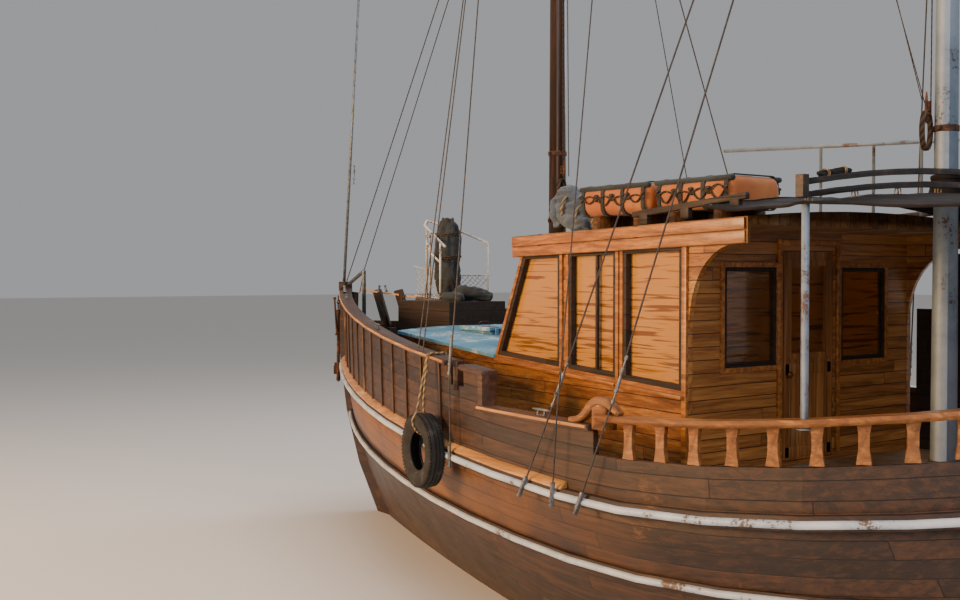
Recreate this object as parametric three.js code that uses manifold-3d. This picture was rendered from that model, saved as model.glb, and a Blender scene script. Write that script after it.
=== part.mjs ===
// A wooden two-masted motor sailer afloat. Millimetres, +X to the bow, +Y to port, +Z up.
// The origin is on the centreline, amidships, at the waterline.
import * as THREE from "three";
import { mergeVertices } from "three/addons/utils/BufferGeometryUtils.js";
import Module from "manifold-3d";

const wasm = await Module();
wasm.setup();

// Clearance between pieces that touch, and half the thickness of the centreline timbers.
const GAP = 0.3;
const STEM_HALF = 60;

// Lines of the hull. beam is the half breadth at mid, fore and aft shape its ends, z is the height
// at mid, and riseFore and riseAft lift the line to the bow and the stern.
const LINES = {
  rabbet: {
    stern: -4450, mid: -1500, bow: 4150, beam: 60,
    fore: 12, aft: 12, end: 1,
    z: -700, riseFore: 200, riseAft: 450,
  },
  bilge: {
    stern: -4650, mid: -1500, bow: 4550, beam: 1080,
    fore: 1.25, aft: 1.7, end: 1.1,
    z: -400, riseFore: 130, riseAft: 300,
  },
  water: {
    stern: -4850, mid: -1500, bow: 4940, beam: 1550,
    fore: 1.33, aft: 1.9, end: 1,
    z: 0, riseFore: 0, riseAft: 0,
  },
  topside: {
    stern: -5300, mid: -1500, bow: 5800, beam: 2020,
    fore: 2, aft: 2.2, end: 0.85,
    z: 916, riseFore: 360, riseAft: 250,
  },
  sheer: {
    stern: -5500, mid: -1700, bow: 6000, beam: 2250,
    fore: 2, aft: 2.4, end: 0.75,
    z: 1540, riseFore: 500, riseAft: 420,
  },
};
const STATIONS = 22;
const END_HALF = 25;

// Deck and sides.
const DECK_THICK = 40;
const DECK_INSET = 90;
const WALL_THICK = 50;
const FLARE = 40;
const CAP_THICK = 50;
const WAIST_Z = 2075;
const WAIST = { aft: -1830, fore: -330 };
const NOTCH = { aft: 30, fore: 270, z: 2200 };
const AFT_WALL = 300;
const AFT_RAIL = 615;

// Trunk cabin.
const TRUNK = { aft: 840.3, fore: 3270, aftHalf: 1182, foreHalf: 780, aftZ: 2367, foreZ: 2492, wall: 40 };
const HATCH = { aft: 2150, fore: 2750, half: 300 };

// Wheelhouse.
const HOUSE = { aft: -2010, fore: 840, aftHalf: 1450, foreHalf: 1180, wall: 45, rakeZ: 2450, topFore: 345 };
const ROOF = { aft: -2690, fore: 460, aftHalf: 1550, foreHalf: 1280, aftZ: 3620, foreZ: 3555, camber: 70 };
const ROOF_THICK = 60;
const FASCIA = 195;
const DOOR = { half: 324, top: 3390, thick: 40, axisX: -2022, axisY: -330 };

// Masts, canopy and gear.
const FOREMAST = { x: 1330, foot: 105, head: 62, top: 10200, treeZ: 9000, treeHalf: 750 };
const MAINMAST = { x: -3280, foot: 100, head: 55, top: 11070 };
const CANOPY = { fore: -2320, aft: -4950, camber: 120, thick: 25 };
const POST = { foreX: -3520, aftX: -4700, radius: 26 };
const SHAFT_Z = -760;
const RUDDER_X = -4400;

// Colours of the real materials.
const FINISH = {
  tar: [0x4a2f20, 0.75, 0],
  planks: [0x9a6434, 0.6, 0],
  honey: [0xb97a3a, 0.55, 0],
  dark: [0x2b1d15, 0.7, 0],
  blue: [0x3f8fb5, 0.6, 0],
  rail: [0x7f94a8, 0.5, 0],
  glass: [0xc99a55, 0.1, 0],
  pipe: [0xd8d6cf, 0.35, 0.6],
  steel: [0x6c6f72, 0.4, 0.8],
  canvas: [0x6f7f8c, 0.9, 0],
  awning: [0x2e2722, 0.9, 0],
  float: [0xd9772e, 0.6, 0],
  rubber: [0x1b1a19, 0.9, 0],
  bronze: [0xa8803f, 0.35, 0.9],
  spar: [0x6f5339, 0.6, 0],
};

const boat = new THREE.Group();

// Adds a named mesh; mirrored pieces are turned over the centreline.
function add(name, finish, solid, mirrored = false) {
  const [color, roughness, metalness] = FINISH[finish];
  const material = new THREE.MeshStandardMaterial({ name: finish, color, roughness, metalness });
  const mesh = new THREE.Mesh(geometryOf(solid), material);
  mesh.name = name;
  if (mirrored) mesh.scale.y = -1;
  boat.add(mesh);
}

// Adds a port piece and its starboard twin.
function addPair(name, finish, solid) {
  add(`${name}_port`, finish, solid);
  add(`${name}_starboard`, finish, solid, true);
}

// Solids and booleans
function solidOf(geometry) {
  const plain = new THREE.BufferGeometry();
  plain.setAttribute("position", geometry.getAttribute("position"));
  if (geometry.index) plain.setIndex(geometry.index);
  const merged = mergeVertices(plain, 1e-3);
  const triVerts = new Uint32Array(merged.index.array);
  const vertProperties = merged.attributes.position.array;
  const made = new wasm.Manifold(new wasm.Mesh({ numProp: 3, vertProperties, triVerts }));
  if (made.volume() > 0) return made;
  for (let i = 0; i < triVerts.length; i += 3) {
    [triVerts[i + 1], triVerts[i + 2]] = [triVerts[i + 2], triVerts[i + 1]];
  }
  return new wasm.Manifold(new wasm.Mesh({ numProp: 3, vertProperties, triVerts }));
}

function geometryOf(solid) {
  const mesh = solid.getMesh();
  const geometry = new THREE.BufferGeometry();
  geometry.setAttribute("position", new THREE.BufferAttribute(new Float32Array(mesh.vertProperties), 3));
  geometry.setIndex(new THREE.BufferAttribute(new Uint32Array(mesh.triVerts), 1));
  return geometry;
}

const join = (...solids) => solids.flat().reduce((a, b) => a.add(b));
const cut = (solid, ...tools) => tools.flat().reduce((a, b) => a.subtract(b), solid);

// The largest body of a solid, without the slivers that a cut leaves beside it.
const whole = (solid) => solid.decompose().sort((a, b) => b.volume() - a.volume())[0];

// A copy turned by a matrix, and the copy over the centreline.
const moved = (solid, matrix) => solidOf(geometryOf(solid).applyMatrix4(matrix));
const flipped = (solid) => moved(solid, new THREE.Matrix4().makeScale(1, -1, 1));

// Basic shapes
function box(x0, x1, y0, y1, z0, z1) {
  const geometry = new THREE.BoxGeometry(x1 - x0, y1 - y0, z1 - z0);
  geometry.translate((x0 + x1) / 2, (y0 + y1) / 2, (z0 + z1) / 2);
  return solidOf(geometry);
}

// A round rod from a to b, each [x, y, z], with a radius at each end.
function rod(a, b, radius, endRadius = radius, sides = 8) {
  const from = new THREE.Vector3(...a);
  const along = new THREE.Vector3(...b).sub(from);
  const geometry = new THREE.CylinderGeometry(endRadius, radius, along.length(), sides);
  geometry.translate(0, along.length() / 2, 0);
  const up = new THREE.Vector3(0, 1, 0);
  geometry.applyQuaternion(new THREE.Quaternion().setFromUnitVectors(up, along.clone().normalize()));
  geometry.translate(from.x, from.y, from.z);
  return solidOf(geometry);
}

// A pipe through points, straight between them, with a ball at each bend.
function pipe(points, radius, sides = 6) {
  const parts = points.slice(1).map((p, i) => rod(points[i], p, radius, radius, sides));
  for (const p of points.slice(1, -1)) {
    const ball = new THREE.SphereGeometry(radius * 1.02, sides, 4);
    ball.translate(...p);
    parts.push(solidOf(ball));
  }
  return join(parts);
}

// An outline of [x, z] points or a Shape, extruded across the boat about y.
function plate(outline, thickness, y = 0) {
  const points = () => outline.map(([a, b]) => new THREE.Vector2(a, b));
  const shape = outline instanceof THREE.Shape ? outline : new THREE.Shape(points());
  const geometry = new THREE.ExtrudeGeometry(shape, { depth: thickness, bevelEnabled: false, curveSegments: 8 });
  geometry.rotateX(Math.PI / 2);
  geometry.translate(0, y + thickness / 2, 0);
  return solidOf(geometry);
}

// An outline of [x, y] points, extruded upwards from z0 to z1.
function prism(outline, z0, z1) {
  const shape = new THREE.Shape(outline.map(([a, b]) => new THREE.Vector2(a, b)));
  const geometry = new THREE.ExtrudeGeometry(shape, { depth: z1 - z0, bevelEnabled: false });
  geometry.translate(0, 0, z0);
  return solidOf(geometry);
}

// A closed skin over rings with equal numbers of points. cap gives the triangles that close a ring.
function skin(rings, cap = capOf) {
  const count = rings[0].length;
  const positions = rings.flat(2);
  const index = [];
  for (let r = 0; r + 1 < rings.length; r += 1) {
    for (let i = 0; i < count; i += 1) {
      const a = r * count + i;
      const b = r * count + ((i + 1) % count);
      index.push(a, b, b + count, a, b + count, a + count);
    }
  }
  const capped = [rings[0], rings[rings.length - 1]].map(cap);
  for (const [i, j, k] of capped[0]) index.push(k, j, i);
  const last = (rings.length - 1) * count;
  for (const [i, j, k] of capped[1]) index.push(last + i, last + j, last + k);
  const geometry = new THREE.BufferGeometry();
  geometry.setAttribute("position", new THREE.BufferAttribute(new Float32Array(positions), 3));
  geometry.setIndex(index);
  return solidOf(geometry);
}

// Triangles of a ring, flattened along the widest direction of its area and wound like the ring.
function capOf(ring) {
  const area = new THREE.Vector3();
  const points = ring.map((p) => new THREE.Vector3(...p));
  points.forEach((p, i) => area.add(p.clone().cross(points[(i + 1) % points.length])));
  const size = area.toArray().map(Math.abs);
  const drop = size.indexOf(Math.max(...size));
  const kept = ring.map((p) => p.filter((_, axis) => axis !== drop));
  const flat = kept.map(([a, b]) => new THREE.Vector2(a, b));
  const triangles = THREE.ShapeUtils.triangulateShape(flat, []);
  const ringSign = Math.sign(THREE.ShapeUtils.area(flat));
  return triangles.map(([i, j, k]) => {
    const sign = Math.sign(THREE.ShapeUtils.area([flat[i], flat[j], flat[k]]));
    return sign === ringSign ? [i, j, k] : [i, k, j];
  });
}

// Triangles of a ring whose second half runs back beside its first, one strip from end to end.
function ladderOf(ring) {
  const last = ring.length - 1;
  const steps = Array.from({ length: ring.length / 2 - 1 }, (_, i) => i);
  return steps.flatMap((i) => [
    [i, i + 1, last - i],
    [i + 1, last - i - 1, last - i],
  ]);
}

// Hull lines
function halfBreadth(line, x) {
  if (x > line.mid) return line.beam * (1 - ((x - line.mid) / (line.bow - line.mid)) ** line.fore);
  return line.beam * Math.max(0, 1 - ((line.mid - x) / (line.mid - line.stern)) ** line.aft) ** line.end;
}

function heightOf(line, x) {
  if (x > line.mid) return line.z + line.riseFore * ((x - line.mid) / (line.bow - line.mid)) ** 1.3;
  return line.z + line.riseAft * ((line.mid - x) / (line.mid - line.stern)) ** 1.85;
}

const SHARES = Array.from({ length: STATIONS + 1 }, (_, i) => (1 - Math.cos((Math.PI * i) / STATIONS)) / 2);

// Point of a line at a share of its length, as [x, half breadth, z].
function linePoint(line, share) {
  const x = line.stern + share * (line.bow - line.stern);
  return [x, Math.max(END_HALF, halfBreadth(line, x)), heightOf(line, x)];
}

// The plank outline of a line in plan: points with the outward normal in plan.
function framesOf(line) {
  const points = SHARES.map((share) => linePoint(line, share));
  const frames = points.map(([x, y, z], i) => {
    const before = points[Math.max(0, i - 1)];
    const after = points[Math.min(points.length - 1, i + 1)];
    const along = new THREE.Vector2(after[0] - before[0], after[1] - before[1]).normalize();
    return { x, y, z, nx: -along.y, ny: along.x };
  });
  const tail = { ...frames[0], y: -30, nx: -1, ny: 0 };
  frames[0] = { ...frames[0], nx: -1, ny: 0 };
  return [tail, ...frames];
}

const SHEER = framesOf(LINES.sheer);
const TOPSIDE = framesOf(LINES.topside);

function between(list, x, key) {
  const i = Math.max(2, list.findIndex((f) => f.x >= x));
  const low = list[i - 1];
  const high = list[i];
  const share = (x - low.x) / (high.x - low.x);
  return low[key] + share * (high[key] - low[key]);
}

// Height of the hull's top and of the deck at x.
const sheerZ = (x) => between(SHEER, Math.min(LINES.sheer.bow, Math.max(LINES.sheer.stern, x)), "z");
const deckZ = (x) => sheerZ(x) + GAP + DECK_THICK;

// Frames of a line from x0 to x1, with frames made at both ends.
function run(list, x0, x1) {
  const at = (x) => ({
    x,
    y: between(list, x, "y"),
    z: between(list, x, "z"),
    nx: between(list, x, "nx"),
    ny: between(list, x, "ny"),
  });
  const inside = list.filter((f) => f.x > x0 + 1 && f.x < x1 - 1);
  const first = x0 <= list[0].x ? list.slice(0, 2) : [at(x0)];
  const last = x1 >= list[list.length - 1].x ? [list[list.length - 1]] : [at(x1)];
  return [...first, ...inside, ...last];
}

// A solid along frames; section(frame) gives [out, z] points.
function sweep(frames, section) {
  const rings = frames.map((f) => section(f).map(([out, z]) => [f.x + f.nx * out, f.y + f.ny * out, z]));
  return skin(rings);
}

const PORT_SIDE = box(-7000, 7000, GAP, 4000, -3000, 12000);

// Hull
const LEVELS = [LINES.rabbet, LINES.bilge, LINES.water, LINES.topside, LINES.sheer];
const STEPS_BETWEEN = 2;

// grow moves the whole surface outwards, for the cutting copy.
function hullSolid(grow) {
  const last = STEPS_BETWEEN * (LEVELS.length - 1);
  const rings = SHARES.map((share) => {
    const corners = LEVELS.map((line) => new THREE.Vector3(...linePoint(line, share)));
    const side = new THREE.CatmullRomCurve3(corners, false, "centripetal").getPoints(last).map((p, i) => {
      const lift = i === last ? 1 : i / last - 1;
      return [p.x + grow * (2 * share - 1), p.y + grow, p.z + grow * lift];
    });
    const middle = side.map(([x, , z]) => [x, -1, z]).reverse();
    return [...side, ...middle];
  });
  const half = skin(rings, ladderOf);
  return join(half, flipped(half));
}

const hullCut = hullSolid(GAP);
const stockHole = rod([RUDDER_X, 0, -1150], [RUDDER_X, 0, 60], 44, 44, 16);
add("hull", "tar", cut(hullSolid(0), stockHole));

// Keel, stem and skeg in one timber line
const KEEL_OUTLINE = [
  [5940, 3090],
  [6110, 3090],
  [6090, 2100],
  [5890, 1300],
  [5540, 600],
  [5040, 0],
  [4450, -520],
  [3650, -840],
  [2600, -960],
  [-4520, -1250],
  [-4520, -1170],
  [-3640, -1150],
  [-3640, -250],
  [2500, -300],
  [4200, 100],
  [5200, 1300],
  [5600, 2100],
  [5900, 2200],
];
const keelLine = (half) => plate(KEEL_OUTLINE, 2 * half);
add("keel", "tar", cut(keelLine(STEM_HALF), hullCut, stockHole));
const stemCut = join(
  keelLine(STEM_HALF + GAP),
  moved(keelLine(STEM_HALF + GAP), new THREE.Matrix4().makeTranslation(-1, 0, 0)),
);

// Deck
function deckSolid(base, top, inset, least = 300) {
  const frames = SHEER.filter((f) => f.y > least);
  const rings = frames.map((f) => {
    const x = f.x - f.nx * inset;
    const y = f.y - f.ny * inset;
    return [
      [x, y, base(x)],
      [x, y, top(x)],
      [x, -y, top(x)],
      [x, -y, base(x)],
    ];
  });
  return skin(rings);
}
add("deck", "honey", deckSolid((x) => sheerZ(x) + GAP, deckZ, DECK_INSET));
const deckCut = deckSolid(() => -500, (x) => deckZ(x) + GAP, DECK_INSET - 5);
const overHull = deckSolid((x) => sheerZ(x) - 1, (x) => sheerZ(x) + 500, 0, END_HALF / 2);

// Bulwarks: a high fore part, a low waist and a low aft wall, on one continuous sheer
const capZ = (x) => 2310 + 700 * ((x - LINES.sheer.mid) / (LINES.sheer.bow - LINES.sheer.mid)) ** 1.35;
const wallFoot = (f, out) => sheerZ(f.x + f.nx * out) + GAP;

const wallSection = (f, top) => [
  [-WALL_THICK, wallFoot(f, -WALL_THICK)],
  [-WALL_THICK + FLARE * 0.6, top(f.x)],
  [FLARE * 0.6, top(f.x)],
  [0, wallFoot(f, 0)],
];
const wall = (x0, x1, top) => sweep(run(SHEER, x0, x1), (f) => wallSection(f, top));

// Cap rails; the walls are cut to seat under them.
function capRail(x0, x1, top) {
  return sweep(run(SHEER, x0, x1), (f) => [
    [-75, top(f.x) - CAP_THICK],
    [-75, top(f.x)],
    [75, top(f.x)],
    [90, top(f.x) - CAP_THICK / 2],
    [75, top(f.x) - CAP_THICK],
  ]);
}
const notch = box(NOTCH.aft, NOTCH.fore, 1500, 2600, NOTCH.z, 3000);
const timberheadY = halfBreadth(LINES.sheer, 165);
const timberhead = box(130, 200, timberheadY - 40, timberheadY + 30, NOTCH.z - 40, 2420);
const SEAT = 6;
const capSeats = [
  capRail(290, 6000, (x) => capZ(x) - GAP),
  capRail(WAIST.fore - 75, 10, (x) => capZ(x) - GAP),
  capRail(WAIST.aft, WAIST.fore - GAP, () => WAIST_Z - GAP),
];
const bulwark = join(cut(wall(WAIST.fore, 6000, (x) => capZ(x) - CAP_THICK + SEAT), notch), timberhead);
const bulwarkPort = whole(cut(bulwark, stemCut, capSeats).intersect(PORT_SIDE));
add("bulwark_port", "tar", bulwarkPort);

// The low wall from the waist round the stern steps up where the waist rail begins.
const lowTop = (x) => (x > WAIST.aft ? WAIST_Z - CAP_THICK + SEAT : sheerZ(x) + AFT_WALL);
const lowFrames = [...run(SHEER, -5500, WAIST.aft), ...run(SHEER, WAIST.aft + 1, WAIST.fore - GAP)];
const lowWall = cut(sweep(lowFrames, (f) => wallSection(f, lowTop)), capSeats);
add("bulwark_aft", "tar", join(lowWall, flipped(lowWall)));

// The starboard bow is open above a low sill, with two slanted boards.
const BOW_GAP = { aft: 4950, fore: 5850, z: 2550 };
const bowGap = box(BOW_GAP.aft, BOW_GAP.fore, 0, 1200, BOW_GAP.z, 3400);
function slantedBoard(x) {
  const outline = [
    [x, BOW_GAP.z - 90],
    [x + 200, BOW_GAP.z - 90],
    [x + 480, 2960],
    [x + 290, 2990],
  ];
  return plate(outline, 34, between(SHEER, x + 100, "y") - 22);
}
const bulwarkOpen = join(cut(bulwarkPort, bowGap), slantedBoard(4990), slantedBoard(5300));
add("bulwark_starboard", "tar", bulwarkOpen, true);

const foreCap = cut(capRail(290, 6000, capZ), stemCut).intersect(PORT_SIDE);
add("cap_rail_fore_port", "honey", foreCap);
add("cap_rail_fore_starboard", "honey", cut(foreCap, box(BOW_GAP.aft, 6200, 0, 1200, 2000, 3400)), true);

// Waist rail with its end post and the short cap above the notch's aft side
const endPost = sweep(run(SHEER, WAIST.fore - 75, WAIST.fore - GAP), (f) => [
  [-70, WAIST_Z - 20],
  [-70, capZ(f.x) - 10],
  [80, capZ(f.x) - 10],
  [80, WAIST_Z - 20],
]);
const waistCap = join(
  capRail(WAIST.aft, WAIST.fore - GAP, () => WAIST_Z),
  endPost,
  capRail(WAIST.fore - 75, 10, capZ),
);
addPair("cap_rail_waist", "honey", waistCap);

// Aft rail with its horn and a row of balusters
const aftTop = (x) => sheerZ(x) + AFT_RAIL;
function aftRail() {
  const parts = [
    capRail(-5500, -1900, aftTop),
    sweep(run(SHEER, -2000, -1850), (f) => [
      [-60, aftTop(f.x) - 120],
      [-60, aftTop(f.x) + 90],
      [60, aftTop(f.x) + 90],
      [60, aftTop(f.x) - 120],
    ]),
  ];
  const spacing = 290;
  const half = 48;
  let travelled = 0;
  const frames = run(SHEER, -5500, -1900).reverse();
  frames.slice(1).forEach((f, i) => {
    const before = frames[i];
    const step = Math.hypot(f.x - before.x, f.y - before.y);
    for (let d = spacing - (travelled % spacing); d < step; d += spacing) {
      const share = d / step;
      const x = before.x + share * (f.x - before.x);
      const y = before.y + share * (f.y - before.y);
      if (y > 120) parts.push(baluster(x, y, Math.atan2(f.nx, f.ny), half));
    }
    travelled += step;
  });
  return join(parts).intersect(PORT_SIDE);
}

function baluster(x, y, turn, half) {
  const foot = Math.max(...[-70, 0, 70].map((dx) => sheerZ(x + dx))) + AFT_WALL - 0.7;
  const top = aftTop(x) - CAP_THICK / 2;
  const shape = new THREE.Shape();
  shape.moveTo(-half, foot);
  shape.quadraticCurveTo(-half * 0.35, (foot + top) / 2, -half, top);
  shape.lineTo(half, top);
  shape.quadraticCurveTo(half * 0.35, (foot + top) / 2, half, foot);
  const geometry = new THREE.ExtrudeGeometry(shape, { depth: 46, bevelEnabled: false, curveSegments: 3 });
  geometry.rotateX(Math.PI / 2);
  geometry.translate(0, 23, 0);
  geometry.rotateZ(-turn);
  geometry.translate(x, y, 0);
  return solidOf(geometry);
}
addPair("rail_aft", "honey", aftRail());

// Rub rails
function rubRail(list, x1, low, high, out) {
  const swept = sweep(run(list, -6000, x1), (f) => [
    [-120, f.z + low],
    [out * 0.75, f.z + low],
    [out, f.z + low * 0.6 + high * 0.4],
    [out * 0.75, f.z + high],
    [-120, f.z + high],
  ]);
  return whole(cut(swept, hullCut, stemCut, overHull).intersect(PORT_SIDE));
}
addPair("rub_rail_upper", "rail", rubRail(SHEER, 6000, -110, -8, 70));
addPair("rub_rail_lower", "rail", rubRail(TOPSIDE, 5800, -45, 45, 50));

// Trunk cabin
const trunkShare = (x) => (x - TRUNK.aft) / (TRUNK.fore - TRUNK.aft);
const slopeZ = (x) => TRUNK.aftZ + trunkShare(x) * (TRUNK.foreZ - TRUNK.aftZ);
const trunkHalf = (x) => TRUNK.aftHalf + trunkShare(x) * (TRUNK.foreHalf - TRUNK.aftHalf);
const trunkOutline = [
  [TRUNK.aft, TRUNK.aftHalf],
  [TRUNK.fore, TRUNK.foreHalf],
  [TRUNK.fore, -TRUNK.foreHalf],
  [TRUNK.aft, -TRUNK.aftHalf],
  [TRUNK.aft, TRUNK.wall - TRUNK.aftHalf],
  [TRUNK.fore - TRUNK.wall, TRUNK.wall - TRUNK.foreHalf],
  [TRUNK.fore - TRUNK.wall, TRUNK.foreHalf - TRUNK.wall],
  [TRUNK.aft, TRUNK.aftHalf - TRUNK.wall],
];
const aboveTrunk = plate(
  [
    [600, slopeZ(600)],
    [3500, slopeZ(3500)],
    [3500, 3500],
    [600, 3500],
  ],
  3000,
);
add("trunk_cabin", "planks", cut(prism(trunkOutline, 1500, 2700), deckCut, aboveTrunk));

// Cambered top; grow makes the cutting copy that seats the raked front.
function trunkTop(grow) {
  const ring = (x, half) => {
    const base = slopeZ(x) + GAP - grow;
    const steps = 8;
    const arch = Array.from({ length: steps + 1 }, (_, i) => {
      const share = 1 - (2 * i) / steps;
      return [x, half * share, slopeZ(x) + GAP + 35 + 40 * (1 - share * share) + grow];
    });
    return [[x, half, base], ...arch, [x, -half, base]];
  };
  const wide = [ring(845, trunkHalf(845) + 35), ring(TRUNK.fore + 40, TRUNK.foreHalf + 35)];
  return skin([ring(780, 1125), ring(843, 1125), ...wide]);
}
const mastHole = rod([FOREMAST.x, 0, 2000], [FOREMAST.x, 0, 2800], 106, 106, 24);
const hatchHole = box(HATCH.aft + 40, HATCH.fore - 40, 40 - HATCH.half, HATCH.half - 40, 2000, 2700);
const hatchTopZ = slopeZ(HATCH.fore) + 95;
const hatchAxis = { x: HATCH.aft - 22, z: hatchTopZ + 20 };
// The coaming carries the lid, and a lug at each side holds its hinge pins.
const coaming = cut(
  box(
    HATCH.aft + 20,
    HATCH.fore - 20,
    20 - HATCH.half,
    HATCH.half - 20,
    slopeZ(HATCH.aft) + 20,
    hatchTopZ - GAP,
  ),
  hatchHole,
);
const hatchLugs = [-1, 1].map((side) =>
  join(
    rod([hatchAxis.x, side * 200, hatchAxis.z], [hatchAxis.x, side * 240, hatchAxis.z], 9),
    box(hatchAxis.x - 6, hatchAxis.x + 6, side * 220 - 20, side * 220 + 20, slopeZ(HATCH.aft) + 40, hatchAxis.z),
  ),
);
add("trunk_top", "blue", join(cut(trunkTop(0), mastHole, hatchHole), coaming, hatchLugs));

// Hatch lid, hinged along its aft edge
const hatchPins = [-1, 1].map((side) =>
  join(
    rod([hatchAxis.x, side * (200 - GAP), hatchAxis.z], [hatchAxis.x, side * 150, hatchAxis.z], 9),
    box(hatchAxis.x, HATCH.aft + 30, side * 175 - 22, side * 175 + 22, hatchAxis.z - 8, hatchAxis.z + 8),
  ),
);
const hatchLid = box(HATCH.aft, HATCH.fore, -HATCH.half, HATCH.half, hatchTopZ, hatchTopZ + 32);
add("trunk_hatch", "blue", join(hatchLid, hatchPins));

// Wheelhouse sides, in the plane of each wall: distance along it from the aft corner, and height
const wallRun = new THREE.Vector3(HOUSE.fore - HOUSE.aft, HOUSE.foreHalf - HOUSE.aftHalf, 0);
const wallScale = wallRun.length() / (HOUSE.fore - HOUSE.aft);
const along = (x) => (x - HOUSE.aft) * wallScale;
const roofZ = (x) => ROOF.aftZ + ((x - ROOF.aft) * (ROOF.foreZ - ROOF.aftZ)) / (ROOF.fore - ROOF.aft);
const houseTop = (x) => roofZ(x) - ROOF_THICK - GAP;
const outerHalf = (x) => HOUSE.aftHalf + ((x - HOUSE.aft) * wallRun.y) / wallRun.x;
const innerHalf = (x, gap) => outerHalf(x) - HOUSE.wall * wallScale - gap;

// Window corners as [x, z], each list from the low aft corner round.
const WINDOWS = [
  [[-1950, 2290], [-1210, 2322], [-1210, 3400], [-1950, 3420]],
  [[-1100, 2327], [-420, 2357], [-420, 3390], [-1100, 3400]],
  [[-270, 2363], [790, 2410], [325, 3375], [-270, 3388]],
];

function wallPanel(shape, thickness, inset) {
  const geometry = new THREE.ExtrudeGeometry(shape, { depth: thickness, bevelEnabled: false, curveSegments: 8 });
  geometry.translate(0, 0, inset);
  const dir = wallRun.clone().normalize();
  const up = new THREE.Vector3(0, 0, 1);
  const frame = new THREE.Matrix4().makeBasis(dir, up, dir.clone().cross(up));
  frame.setPosition(HOUSE.aft, HOUSE.aftHalf, 0);
  geometry.applyMatrix4(frame);
  return solidOf(geometry);
}

function shapeOf(points) {
  return new THREE.Shape(points.map(([x, z]) => new THREE.Vector2(along(x), z)));
}

const sideShape = new THREE.Shape();
sideShape.moveTo(along(HOUSE.aft), 1400);
sideShape.lineTo(along(HOUSE.fore), 1400);
sideShape.lineTo(along(HOUSE.fore), HOUSE.rakeZ);
sideShape.lineTo(along(HOUSE.topFore), houseTop(HOUSE.topFore));
sideShape.lineTo(along(-2480), houseTop(-2480));
sideShape.lineTo(along(-2480), 3425);
sideShape.quadraticCurveTo(along(-2040), 3330, along(HOUSE.aft), 2760);
sideShape.closePath();
for (const corners of WINDOWS) sideShape.holes.push(new THREE.Path(shapeOf(corners).getPoints()));
addPair("wheelhouse_side", "planks", cut(wallPanel(sideShape, HOUSE.wall, 0), deckCut));

// Glass: one sheet behind the three windows of a side
const GLASS = 6;
const sideGlass = shapeOf([[-1960, 2250], [800, 2350], [330, 3420], [-1960, 3450]]);
const sideGlassSolid = wallPanel(sideGlass, GLASS, HOUSE.wall + GAP);
addPair("glass", "glass", sideGlassSolid);

// Front and aft bulkhead fit between the sides
const room = prism(
  [
    [-2700, innerHalf(-2700, GAP)],
    [900, innerHalf(900, GAP)],
    [900, -innerHalf(900, GAP)],
    [-2700, -innerHalf(-2700, GAP)],
  ],
  1000,
  4000,
);
const glassCut = wallPanel(sideGlass, GLASS + 2 * GAP, HOUSE.wall);
const glassCutOther = flipped(glassCut);
const aboveHouse = plate(
  [
    [-2600, houseTop(-2600)],
    [800, houseTop(800)],
    [800, 4200],
    [-2600, 4200],
  ],
  4000,
);

// The raked front, in its own plane: across the boat, and up the rake
const rake = Math.atan2(HOUSE.fore - HOUSE.topFore, houseTop(HOUSE.topFore) - HOUSE.rakeZ);
function frontPanel(shape, thickness, inset) {
  const geometry = new THREE.ExtrudeGeometry(shape, { depth: thickness, bevelEnabled: false });
  const up = new THREE.Vector3(-Math.sin(rake), 0, Math.cos(rake));
  const across = new THREE.Vector3(0, 1, 0);
  const out = across.clone().cross(up);
  geometry.translate(0, 0, -thickness - inset);
  const turn = new THREE.Matrix4().makeBasis(across, up, out);
  geometry.applyMatrix4(turn.setPosition(HOUSE.fore, 0, HOUSE.rakeZ));
  return solidOf(geometry);
}
const rect = (y0, y1, z0, z1) => {
  const corners = [[y0, z0], [y1, z0], [y1, z1], [y0, z1]];
  return corners.map(([a, b]) => new THREE.Vector2(a, b));
};
const frontShape = new THREE.Shape(rect(-1300, 1300, -120, 1400));
const frontSheet = frontPanel(frontShape, HOUSE.wall, 0).intersect(room);
const frontWindow = (y) => frontPanel(new THREE.Shape(rect(y, y + 690, 110, 1000)), 200, -100);
const frontWindows = [-1075, -345, 385].map(frontWindow);
const frontFree = cut(frontSheet, frontWindows, trunkTop(GAP), aboveHouse);
add("wheelhouse_front", "planks", cut(frontFree, glassCut, glassCutOther));
const frontGlass = new THREE.Shape(rect(-1090, 1090, 80, 1030));
add("glass_front", "glass", frontPanel(frontGlass, GLASS, HOUSE.wall + GAP));

// Aft bulkhead with two windows and a doorway; its sill lifts the door clear of the rising deck.
const doorSill = deckZ(-2700) + 6;
const bulkhead = cut(
  box(HOUSE.aft, HOUSE.aft + HOUSE.wall, -1500, 1500, 1400, 3700).intersect(room),
  box(HOUSE.aft - 50, HOUSE.aft + 100, -DOOR.half - 6, DOOR.half + 6, doorSill, DOOR.top + 6),
  box(HOUSE.aft - 50, HOUSE.aft + 100, 430, 1050, 2450, 3250),
  box(HOUSE.aft - 50, HOUSE.aft + 100, -1050, -430, 2450, 3250),
  deckCut,
  aboveHouse,
);
const DOOR_LUGS = [2040, 3140];
const doorLugs = DOOR_LUGS.map((z) =>
  join(
    rod([DOOR.axisX, DOOR.axisY, z], [DOOR.axisX, DOOR.axisY, z + 40], 8),
    box(DOOR.axisX - 4, HOUSE.aft + 2, DOOR.axisY - 30, DOOR.axisY - 7, z, z + 40),
    box(DOOR.axisX - 4, DOOR.axisX + 4, DOOR.axisY - 30, DOOR.axisY, z, z + 40),
  ),
);
add("wheelhouse_back", "planks", join(bulkhead, doorLugs));
const doorPins = DOOR_LUGS.map((z) =>
  join(
    rod([DOOR.axisX, DOOR.axisY, z + 40 + GAP], [DOOR.axisX, DOOR.axisY, z + 90], 8),
    box(DOOR.axisX - 4, HOUSE.aft + 10, DOOR.axisY + 2, DOOR.axisY + 20, z + 42, z + 90),
  ),
);
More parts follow.
